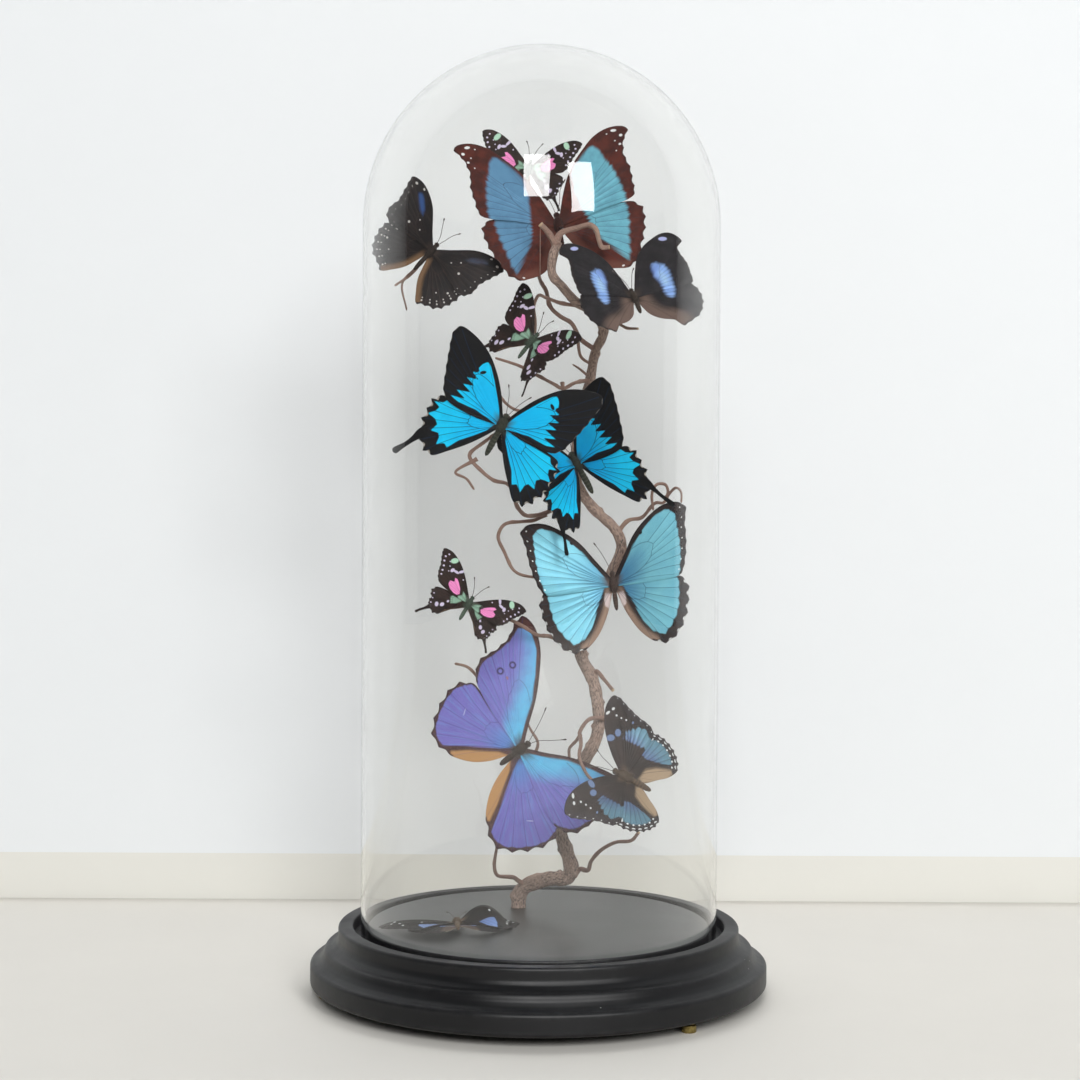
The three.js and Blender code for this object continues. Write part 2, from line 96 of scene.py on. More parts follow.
def at_lengths(route, wanted):
    """The places on a route at the wanted distances from its start."""
    travelled = lengths_along(route)
    return np.stack([np.interp(wanted, travelled, route[:, k]) for k in range(route.shape[1])], 1)


def directions(route):
    """Unit tangents of a route."""
    steps = np.gradient(route, axis=0)
    return steps / np.linalg.norm(steps, axis=1, keepdims=True)


def ring_frames(route):
    """Two unit vectors across a route, without twisting: each is the last one, turned square to the route."""
    forward = directions(route)
    first = np.cross(forward[0], [0.0, 0.0, 1.0])
    if np.linalg.norm(first) < 0.1:
        first = np.cross(forward[0], [1.0, 0.0, 0.0])
    sides = [first / np.linalg.norm(first)]
    for heading in forward[1:]:
        side = sides[-1] - heading * np.dot(sides[-1], heading)
        sides.append(side / np.linalg.norm(side))
    side = np.array(sides)
    return side, np.cross(forward, side)


# ---- Surfaces ----
def grid_faces(rows, columns, around=False):
    """Quads of a grid of points, joined round where the columns close on themselves."""
    last = columns if around else columns - 1
    row = np.arange(rows - 1)[:, None] * columns
    column = np.arange(last)[None, :]
    beside = (column + 1) % columns
    quads = np.stack([row + column, row + beside, row + columns + beside, row + columns + column], -1)
    return quads.reshape(-1, 4)


class Skin:
    """Points, faces and painted fields of one surface. A face whose last two corners agree is a triangle."""

    def __init__(self, points, faces, fields=None, paint=0):
        self.points = np.asarray(points, float)
        self.faces = np.asarray(faces)
        self.fields = fields or {}
        self.paint = np.full(len(self.faces), paint)

    def turned_over(self):
        """The same surface with its faces pointing the other way."""
        self.faces = self.faces[:, ::-1]
        return self


def joined(skins):
    """Several surfaces as one: fields that one of them lacks are zero there."""
    names = sorted({name for skin in skins for name in skin.fields})
    starts = np.cumsum([0] + [len(skin.points) for skin in skins])
    whole = Skin(np.vstack([skin.points for skin in skins]), np.zeros((0, 4), int))
    whole.faces = np.vstack([skin.faces + start for skin, start in zip(skins, starts)])
    whole.paint = np.concatenate([skin.paint for skin in skins])
    whole.fields = {
        name: np.concatenate([skin.fields.get(name, np.zeros(len(skin.points))) for skin in skins])
        for name in names
    }
    return whole


def add_piece(name, skin, materials, replaces):
    """A mesh object from a surface in millimetres, with its fields as attributes, riding on the frame."""
    mesh = bpy.data.meshes.new(name)
    corners = np.ones(skin.faces.shape, bool)
    corners[:, 3] = skin.faces[:, 3] != skin.faces[:, 2]
    loops = skin.faces[corners].astype(np.int32)
    starts = np.concatenate([[0], np.cumsum(corners.sum(1))[:-1]]).astype(np.int32)
    mesh.vertices.add(len(skin.points))
    mesh.vertices.foreach_set("co", (skin.points * MM).astype(np.float32).ravel())
    mesh.loops.add(len(loops))
    mesh.loops.foreach_set("vertex_index", loops)
    mesh.polygons.add(len(skin.faces))
    mesh.polygons.foreach_set("loop_start", starts)
    mesh.polygons.foreach_set("material_index", skin.paint.astype(np.int32))
    mesh.update(calc_edges=True)
    for field, values in skin.fields.items():
        layer = mesh.attributes.new(field, "FLOAT", "POINT")
        layer.data.foreach_set("value", values.astype(np.float32))
    weld(mesh)
    mesh.polygons.foreach_set("use_smooth", np.ones(len(mesh.polygons), bool))
    for material in materials:
        mesh.materials.append(material)
    piece = bpy.data.objects.new(name, mesh)
    bpy.context.scene.collection.objects.link(piece)
    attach(piece, BODY)
    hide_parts(*replaces)
    return piece


def weld(mesh):
    """Closes seams and poles by merging points that lie on each other."""
    work = bmesh.new()
    work.from_mesh(mesh)
    bmesh.ops.remove_doubles(work, verts=work.verts, dist=WELD_DISTANCE)
    work.to_mesh(mesh)
    work.free()


def lathe(profile, segments):
    """A surface of revolution about +Z: each profile point (radius, height) goes round a circle."""
    radius, height = np.asarray(profile, float).T
    angle = np.arange(segments) * TURN / segments
    x = radius[:, None] * np.cos(angle)
    y = radius[:, None] * np.sin(angle)
    z = np.broadcast_to(height[:, None], x.shape)
    points = np.stack([x, y, z], -1).reshape(-1, 3)
    return Skin(points, grid_faces(len(radius), segments, around=True))


def tube(route, radius, sides, relief=None):
    """A round limb: at each route point a circle of the given radius stands across the route.

    relief(angle, along) returns a factor on the radius. The ends are closed by rings of no radius.
    """
    side, up = ring_frames(route)
    along = lengths_along(route)
    angle = np.arange(sides) * TURN / sides
    spread = np.broadcast_to(np.asarray(radius, float)[:, None], (len(route), sides)).copy()
    if relief is not None:
        spread = spread * relief(angle[None, :], along[:, None])
    ring = np.cos(angle)[None, :, None] * side[:, None] + np.sin(angle)[None, :, None] * up[:, None]
    points = route[:, None] + spread[:, :, None] * ring
    first = np.repeat(route[:1, None], sides, 1)
    last = np.repeat(route[-1:, None], sides, 1)
    points = np.concatenate([first, points, last])
    rows = len(points)
    turns = np.broadcast_to(angle, (rows, sides)).ravel()
    travelled = np.repeat(np.concatenate([along[:1], along, along[-1:]]), sides)
    fields = {"around": np.cos(turns), "around_too": np.sin(turns), "along": travelled}
    return Skin(points.reshape(-1, 3), grid_faces(rows, sides, around=True), fields)


def ball(centre, radii):
    """An ellipsoid: circles of latitude about +Y."""
    tilt = np.linspace(0, math.pi, BALL_ROWS)[:, None]
    angle = (np.arange(BALL_SIDES) * TURN / BALL_SIDES)[None, :]
    x = np.sin(tilt) * np.cos(angle)
    y = np.cos(tilt) * np.ones_like(angle)
    z = np.sin(tilt) * np.sin(angle)
    points = np.stack([x, y, z], -1).reshape(-1, 3) * np.asarray(radii) + np.asarray(centre)
    return Skin(points, grid_faces(BALL_ROWS, BALL_SIDES, around=True))


# ---- Materials ----
GLASS_IOR = 1.46


def paint(red, green, blue):
    """A colour given as screen values from 0 to 255, as linear light."""
    screen = np.array([red, green, blue]) / 255
    light = np.where(screen <= 0.04045, screen / 12.92, ((screen + 0.055) / 1.055) ** 2.4)
    return (*light.tolist(), 1.0)


class Recipe:
    """Builds one node material: every method adds a node and returns its output."""

    def __init__(self, name):
        self.material = bpy.data.materials.new(name)
        self.material.use_nodes = True
        self.nodes = self.material.node_tree.nodes
        self.links = self.material.node_tree.links
        self.shader = self.nodes["Principled BSDF"]

    def feed(self, socket, value):
        if isinstance(value, bpy.types.NodeSocket):
            self.links.new(value, socket)
        else:
            socket.default_value = value

    def field(self, name):
        node = self.nodes.new("ShaderNodeAttribute")
        node.attribute_name = name
        return node.outputs["Fac"]

    def place(self):
        return self.nodes.new("ShaderNodeTexCoord").outputs["Object"]

    def math(self, operation, first, second=0.0):
        node = self.nodes.new("ShaderNodeMath")
        node.operation = operation
        self.feed(node.inputs[0], first)
        self.feed(node.inputs[1], second)
        return node.outputs[0]

    def plus(self, first, second):
        return self.math("ADD", first, second)

    def less(self, first, second):
        return self.math("SUBTRACT", first, second)

    def times(self, first, second):
        return self.math("MULTIPLY", first, second)

    def most(self, first, second):
        return self.math("MAXIMUM", first, second)

    def ramp(self, value, low, high, start=0.0, end=1.0):
        node = self.nodes.new("ShaderNodeMapRange")
        node.interpolation_type = "SMOOTHSTEP"
        self.feed(node.inputs["Value"], value)
        self.feed(node.inputs["From Min"], low)
        self.feed(node.inputs["From Max"], high)
        self.feed(node.inputs["To Min"], start)
        self.feed(node.inputs["To Max"], end)
        return node.outputs["Result"]

    def mix(self, share, first, second):
        node = self.nodes.new("ShaderNodeMix")
        node.data_type = "RGBA"
        self.feed(node.inputs[0], share)
        self.feed(node.inputs[6], first)
        self.feed(node.inputs[7], second)
        return node.outputs[2]

    def vector(self, x, y, z=0.0):
        node = self.nodes.new("ShaderNodeCombineXYZ")
        self.feed(node.inputs[0], x)
        self.feed(node.inputs[1], y)
        self.feed(node.inputs[2], z)
        return node.outputs[0]

    def noise(self, where, scale, detail=3.0, roughness=0.6):
        node = self.nodes.new("ShaderNodeTexNoise")
        self.feed(node.inputs["Vector"], where)
        node.inputs["Scale"].default_value = scale
        node.inputs["Detail"].default_value = detail
        node.inputs["Roughness"].default_value = roughness
        return node.outputs["Fac"]

    def cells(self, where, scale):
        node = self.nodes.new("ShaderNodeTexVoronoi")
        self.feed(node.inputs["Vector"], where)
        node.inputs["Scale"].default_value = scale
        return node.outputs["Distance"]

    def ovals(self, flat, ovals, outer, hollow=0.0):
        """One inside any of the ovals (x, y, half width, half height, turn) of a wing's plan, else zero.

        A hollow oval is only a ring: its middle, up to the given share of its size, is zero.
        """
        inside = self.times(outer, 0.0)
        for x, y, wide, high, turn in ovals:
            node = self.nodes.new("ShaderNodeMapping")
            node.vector_type = "TEXTURE"
            self.feed(node.inputs["Vector"], flat)
            node.inputs["Location"].default_value = (x, y, 0)
            node.inputs["Rotation"].default_value = (0, 0, math.radians(turn))
            node.inputs["Scale"].default_value = (wide, high, 1)
            length = self.nodes.new("ShaderNodeVectorMath")
            length.operation = "LENGTH"
            self.links.new(node.outputs["Vector"], length.inputs[0])
            filled = self.ramp(length.outputs["Value"], 1.2, 0.8)
            if hollow:
                middle = self.ramp(length.outputs["Value"], hollow - 0.2, hollow)
                filled = self.times(filled, middle)
            inside = self.most(inside, filled)
        return inside

    def row(self, part, away, high, wide):
        """One inside each margin cell's spot: distance inwards, half height and half width in millimetres."""
        cell = self.field("cell")
        sideways = self.less(self.math("FRACT", cell), 0.5)
        sideways = self.math("DIVIDE", self.times(sideways, self.field("pitch")), wide)
        inwards = self.math("DIVIDE", self.less(self.field("outer"), away), high)
        sideways = self.math("POWER", self.math("ABSOLUTE", sideways), 2.0)
        inwards = self.math("POWER", self.math("ABSOLUTE", inwards), 2.0)
        square = self.plus(sideways, inwards)
        inside = self.ramp(square, 1.4, 0.7)
        inside = self.times(inside, self.ramp(cell, -0.02, 0.02))
        inside = self.times(inside, self.ramp(cell, CELLS + 0.02, CELLS - 0.02))
        hind = self.field("hind")
        return self.times(inside, hind if part == "hind" else self.less(1.0, hind))

    def bump(self, height, strength, distance):
        node = self.nodes.new("ShaderNodeBump")
        node.inputs["Strength"].default_value = strength
        node.inputs["Distance"].default_value = distance
        self.feed(node.inputs["Height"], height)
        self.links.new(node.outputs["Normal"], self.shader.inputs["Normal"])

    def finish(self, **sockets):
        for name, value in sockets.items():
            self.feed(self.shader.inputs[name.replace("_", " ")], value)
        return self.material


def black_paint():
    """Satin black paint on turned wood: faint turning marks, a painted grey highlight along the outward
    corners and a few pale specks.
    """
    make = Recipe("black_paint")
    where = make.place()
    cloud = make.noise(where, 14.0, 4.0)
    fine = make.noise(where, 420.0, 2.0)
    # Painted highlight: a faint lighter grey along the outward corners of the mouldings.
    painted_highlight = make.times(make.field("worn"), make.ramp(make.noise(where, 90.0, 5.0, 0.7), 0.42, 0.62))
    speck = make.ramp(make.cells(where, 75.0), 0.05, 0.02)
    speck = make.times(speck, make.ramp(make.noise(where, 22.0, 1.0), 0.56, 0.6))
    colour = make.mix(cloud, paint(13, 13, 15), paint(24, 24, 26))
    colour = make.mix(make.times(painted_highlight, 0.05), colour, paint(92, 92, 92))
    colour = make.mix(make.times(speck, 0.8), colour, paint(190, 190, 186))
    make.bump(make.plus(fine, make.times(make.noise(where, 60.0), 1.5)), 0.12, 0.0004)
    rough = make.ramp(cloud, 0.3, 0.7, 0.34, 0.5)
    return make.finish(Base_Color=colour, Roughness=rough, Specular_IOR_Level=0.3)


def floor_disc_paint():
    """The matt black felt-like paint of the disc inside the glass, dusty and rubbed."""
    make = Recipe("dusty_black_paint")
    where = make.place()
    cloud = make.noise(where, 24.0, 5.0, 0.65)
    grain = make.noise(where, 700.0, 2.0)
    colour = make.mix(make.ramp(cloud, 0.35, 0.7), paint(34, 35, 36), paint(56, 57, 57))
    colour = make.mix(make.ramp(grain, 0.62, 0.8, 0.0, 0.3), colour, paint(120, 120, 118))
    make.bump(grain, 0.15, 0.0003)
    return make.finish(Base_Color=colour, Roughness=0.34)


def clear_glass(settings):
    """Clear blown glass, faintly green in its thickness."""
    make = Recipe("clear_glass")
    where = make.place()
    wave = make.noise(where, 5.0, 1.0)
    make.bump(wave, 0.05, 0.002)
    return make.finish(Base_Color=tuple(settings.tint), Roughness=0.0, IOR=GLASS_IOR, Transmission_Weight=1.0)


def aged_brass():
    """Small brass feet, dulled unevenly."""
    make = Recipe("aged_brass")
    where = make.place()
    tarnish = make.noise(where, 260.0, 4.0)
    colour = make.mix(make.ramp(tarnish, 0.35, 0.7), paint(160, 142, 88), paint(98, 84, 48))
    rough = make.ramp(tarnish, 0.3, 0.7, 0.25, 0.5)
    make.bump(tarnish, 0.1, 0.0003)
    return make.finish(Base_Color=colour, Roughness=rough, Metallic=1.0)


def bark(settings):
    """Thin greyish brown bark: lengthwise creases, pale pores, and hollows darkened partly by the bark's own
    colour and partly by painted shade.
    """
    make = Recipe("bark")
    where = make.place()
    along = make.times(make.field("along"), 0.09)
    skin = make.vector(make.field("around"), make.field("around_too"), along)
    crease = make.noise(skin, 5.5, 5.0, 0.7)
    blotch = make.noise(where, 42.0, 3.0)
    grit = make.noise(where, 900.0, 3.0, 0.7)
    pores_at = make.vector(make.field("around"), make.field("around_too"), make.times(along, 6.0))
    pore = make.ramp(make.cells(pores_at, 3.2), 0.16, 0.08)
    dark = tuple(settings.bark_hollows_and_shade)
    light = tuple(settings.bark_light)
    # Darker in the creases: partly the bark's own colour, partly painted shade in the hollows.
    colour = make.mix(make.ramp(crease, 0.36, 0.62), dark, light)
    colour = make.mix(make.times(make.field("thin"), 0.6), colour, tuple(settings.twig_bark))
    colour = make.mix(make.ramp(blotch, 0.5, 0.72, 0.0, 0.6), colour, paint(176, 148, 130))
    colour = make.mix(make.ramp(grit, 0.55, 0.8, 0.0, 0.6), colour, paint(70, 54, 47))
    colour = make.mix(make.times(pore, 0.7), colour, paint(204, 188, 172))
    colour = make.mix(make.field("wood"), colour, paint(206, 180, 146))
    height = make.plus(make.plus(make.times(crease, 1.0), make.times(grit, 0.35)), make.times(pore, 0.5))
    make.bump(height, 0.7, 0.0012)
    return make.finish(Base_Color=colour, Roughness=make.ramp(crease, 0.3, 0.7, 0.62, 0.85))


def fur(name, colour):
    """Short dense hair of a thorax and the ringed skin of an abdomen, darker below than its pale tips."""
    make = Recipe(name)
    where = make.place()
    strands = make.noise(where, 2600.0, 2.0, 0.7)
    rings = make.ramp(make.field("ring"), 0.55, 0.95)
    deep = tuple(0.35 * channel for channel in colour[:3]) + (1.0,)
    pale = tuple(min(1.0, 1.5 * channel) for channel in colour[:3]) + (1.0,)
    shade = make.mix(make.ramp(strands, 0.3, 0.75), deep, colour)
    shade = make.mix(make.times(rings, 0.6), shade, pale)
    shade = make.mix(make.times(make.field("hair_tip"), 0.7), shade, pale)
    make.bump(strands, 0.6, 0.0004)
    return make.finish(
        Base_Color=shade, Roughness=0.85, Specular_IOR_Level=0.15, Sheen_Weight=0.08, Sheen_Roughness=0.4
    )


def dark_horn():
    """Shiny dark brown horn of eyes, feelers and legs."""
    make = Recipe("dark_horn")
    where = make.place()
    spots = make.noise(where, 1500.0, 2.0)
    colour = make.mix(spots, paint(28, 20, 17), paint(66, 50, 42))
    make.bump(spots, 0.2, 0.0002)
    return make.finish(Base_Color=colour, Roughness=0.35)


def steel():
    """Thin mounting pins."""
    make = Recipe("pin_steel")
    where = make.place()
    mark = make.noise(where, 500.0, 2.0)
    colour = make.mix(mark, paint(120, 118, 116), paint(165, 163, 160))
    return make.finish(Base_Color=colour, Roughness=make.ramp(mark, 0.3, 0.7, 0.25, 0.4), Metallic=1.0)


def wing_scales(name, look, species):
    """Scaled wing membrane: ground, lit patches with painted sheens on some, dark veins, margin, spots and
    the duller underside.
    """
    make = Recipe(name)
    where = make.place()
    cell = make.field("cell")
    reach = make.field("reach")
    outer = make.field("outer")
    under = make.field("under")
    flat = make.vector(make.field("flat_x"), make.field("flat_y"))
    along_rays = make.vector(cell, make.times(reach, 0.5))
    streaks = make.noise(along_rays, 6.0, 4.0, 0.7)
    dust = make.noise(where, 1500.0, 2.0, 0.6)
    cloud = make.noise(where, 120.0, 3.0, 0.6)
    wander = make.plus(make.times(streaks, 0.7), make.times(dust, 0.3))
    ragged = make.times(make.less(wander, 0.5), look["ragged"] * 4)

    def shifted(value):
        return make.plus(value, ragged)

    colour = make.mix(make.ramp(cloud, 0.35, 0.65), look["ground"], look["ground_too"])
    tan = make.ramp(shifted(make.field("inner")), look["tan_width"], look["tan_width"] * 0.35)
    colour = make.mix(tan, colour, look["tan"])
    lit = make.ramp(shifted(make.field("patch")), 0.0, look["soft"])
    glow = make.mix(make.ramp(reach, look["near"], look["far"]), look["patch_near"], look["patch_far"])
    # Painted sheen: near the forewing's front edge the patch turns to its paler streak colour.
    painted_costa_sheen = make.ramp(make.plus(make.field("costa"), make.times(reach, 12.0)), 26.0, 9.0)
    painted_costa_sheen = make.times(painted_costa_sheen, make.less(1.0, make.field("hind")))
    glow = make.mix(make.times(painted_costa_sheen, look["costa_sheen_share"]), glow, look["patch_streak"])
    glow = make.mix(make.ramp(streaks, 0.45, 0.75, 0.0, look["streak"]), glow, look["patch_streak"])
    # Painted sheen: the patch on the left wings turns to another colour, the sheen these wings show at their
    # angle to the light.
    glow = make.mix(make.times(make.field("left"), look["left_sheen_share"]), glow, look["patch_left_sheen"])
    glow = make.mix(make.ramp(cloud, 0.35, 0.7, 0.0, 0.25), glow, look["patch_shade"])
    colour = make.mix(lit, colour, glow)
    second = make.ramp(shifted(make.field("patch_too")), 0.0, look["soft_too"])
    colour = make.mix(make.times(second, look["patch_too_share"]), colour, look["patch_too"])

    width = look["vein_width"]
    branches = make.ramp(make.field("vein"), width, width * 0.3)
    outside = make.ramp(make.field("discal"), -0.25, 0.25)
    ring = make.ramp(make.math("ABSOLUTE", make.field("discal")), width, width * 0.3)
    vein = make.most(make.times(branches, outside), ring)
    colour = make.mix(make.times(vein, look["vein_share"]), colour, look["vein"])
    rim = make.ramp(shifted(outer), look["rim_width"] + look["rim_soft"], look["rim_width"])
    edge = make.ramp(make.field("costa"), look["costa_width"] + 0.7, look["costa_width"])
    colour = make.mix(make.most(rim, edge), colour, look["rim"])
    dots = make.ovals(flat, species.get("dots", []), outer)
    for part, rows in species.get("rows", {}).items():
        for away, high, wide in rows:
            dots = make.most(dots, make.row(part, away, high, wide))
    colour = make.mix(make.ovals(flat, species.get("marks", []), outer), colour, look["mark"])
    colour = make.mix(make.ovals(flat, species.get("rings", []), outer, 0.6), colour, look["mark"])
    colour = make.mix(make.ovals(flat, species.get("dots_too", []), outer), colour, look["dots_too"])
    colour = make.mix(dots, colour, look["dots"])
    fringe = make.times(make.ramp(outer, 0.7, 0.2), make.ramp(make.field("tooth"), 0.7, 0.3))
    colour = make.mix(make.times(fringe, look["fringe_share"]), colour, look["fringe"])
    fuzz = make.ramp(make.plus(reach, make.times(streaks, 0.1)), 0.22, 0.08)
    colour = make.mix(make.times(fuzz, 0.8), colour, look["fuzz"])
    colour = make.mix(make.ramp(dust, 0.6, 0.85, 0.0, 0.3), colour, look["ground_too"])

    below = make.mix(make.ramp(cloud, 0.35, 0.7), look["below"], look["below_too"])
    below = make.mix(make.times(vein, 0.5), below, look["vein"])
    below = make.mix(dots, below, look["dots"])
    colour = make.mix(make.ramp(under, 0.3, 0.6), colour, below)

    grain = make.plus(make.times(dust, 0.5), make.times(streaks, 0.5))
    make.bump(make.plus(grain, make.times(vein, 0.6)), 0.25, 0.0002)
    shine = make.times(lit, make.ramp(under, 0.6, 0.3))
    rough = make.less(0.6, make.times(shine, look["gloss"]))
    metal = make.times(shine, look["metal"])
    return make.finish(
        Base_Color=colour, Roughness=rough, Metallic=metal, Specular_IOR_Level=0.12, Sheen_Weight=0.012,
        Sheen_Roughness=0.5,
    )


# ---- Base ----
BASE_STEP = 0.9
# Radius and height, from under the middle, over the mouldings and through the groove to the top's middle.
BASE_PROFILE = [
    (0, 7), (148.5, 7), (150, 8.5), (150, 20), (148.8, 21.4), (146.5, 22), (143.7, 23.6), (141.4, 26.6),
    (140.8, 29), (139.8, 30.6), (136, 31.8), (133, 34), (131.7, 36.6), (131.7, 43.5), (130.7, 44.5),
    (122.1, 44.5), (122.1, 36.5), (112.4, 36.5), (112.4, 44.5), (0, 44.5),
]
DISC_TOP = 44.3  # faces above this height and inside this radius are the floor disc
DISC_RADIUS = 112.2
FOOT_SIDES = 40
FOOT_STEP = 0.3
FOOT_NECK = 0.72  # radius of a foot's screw beside that of the foot


def resampled(profile, step):
    """The same outline with extra points on each stretch, no further apart than the step."""
    corner = np.asarray(profile, float)
    pieces = []
    for first, second in zip(corner[:-1], corner[1:]):
        count = max(1, int(np.ceil(np.linalg.norm(second - first) / step)))
        share = np.arange(count)[:, None] / count
        pieces.append(first + (second - first) * share)
    return np.vstack(pieces + [corner[-1:]])


def eased(profile, times):
    """The outline with rubbed corners: an inner point becomes half itself and half its neighbours' mean."""
    shape = profile.copy()
    for _ in range(times):
        shape[1:-1] = 0.25 * shape[:-2] + 0.5 * shape[1:-1] + 0.25 * shape[2:]
    return shape


def corner_highlight(profile):
    """One at an outward corner of the profile and zero on its flats and in its hollows: where the painted
    highlight goes.
    """
    step = directions(profile)
    bend = np.zeros(len(profile))
    bend[1:-1] = step[:-2, 0] * step[2:, 1] - step[:-2, 1] * step[2:, 0]
    wide = np.convolve(np.clip(bend, 0, None), [0.6, 1.0, 0.6], "same")
    return np.clip(wide * 2.2, 0, 1)


# ---- Dome ----
ROUND_TOP_ROWS = 48
LIP_ROWS = 9
WALL_ROWS = 24


def dome_profile(outer, wall, foot, spring):
    """Down the inner wall and up the outer one: a quarter circle on a straight stretch, with a rounded foot.

    Rings close to the foot keep the straight wall's shading level down to its lip.
    """
    inner = outer - wall
    bend = np.linspace(math.pi / 2, 0, ROUND_TOP_ROWS)
    inside = np.stack([inner * np.cos(bend), spring + inner * np.sin(bend)], 1)
    lip = np.linspace(math.pi, TURN, LIP_ROWS)
    middle = (outer + inner) / 2
    rolled = np.stack([middle + wall / 2 * np.cos(lip), foot + wall / 2 + wall / 2 * np.sin(lip)], 1)
    outside = np.stack([outer * np.cos(bend[::-1]), spring + outer * np.sin(bend[::-1])], 1)
    climb = foot + wall / 2 + (spring - foot - wall / 2) * np.linspace(0, 1, WALL_ROWS)[1:-1] ** 2
    down = np.stack([np.full(len(climb), inner), climb[::-1]], 1)
    up = np.stack([np.full(len(climb), outer), climb], 1)
    return np.vstack([inside, down, rolled, up, outside])


# ---- Branch: routes, with the radius where each limb starts and at its tip ----
STEM = [
    (-14, 48, 42), (-13, 47, 54), (-8, 45, 60), (6, 39, 66), (19, 32, 68), (22, 29, 75), (19, 25, 87),
    (15, 22, 98), (14, 22, 112), (19, 24, 129), (30, 24, 148), (38, 23, 164), (40, 23, 177),
    (36, 25, 202), (28, 27, 220), (32, 29, 243), (48, 31, 274), (55, 31, 291), (51, 31, 303),
    (36, 32, 318), (25, 36, 334), (24, 40, 357), (26, 38, 381), (32, 27, 400), (36, 12, 422),
    (41, 2, 435), (34, -6, 446), (22, -12, 453), (13, -18, 462), (7, -22, 469), (7, -24, 479),
    (10, -20, 490),
]
STEM_RADII = [(0, 4.6), (0.04, 5.0), (0.1, 4.9), (0.16, 4.3), (0.35, 4.0), (0.6, 3.5), (0.85, 3.1), (1, 2.8)]
STEM_REST = 44.6  # the stem is cut off level just above the floor disc
STEM_NODES = (
    "branch_foot", "branch_lower_stem", "branch_middle_stem", "branch_upper_stem", "branch_top_stem"
)
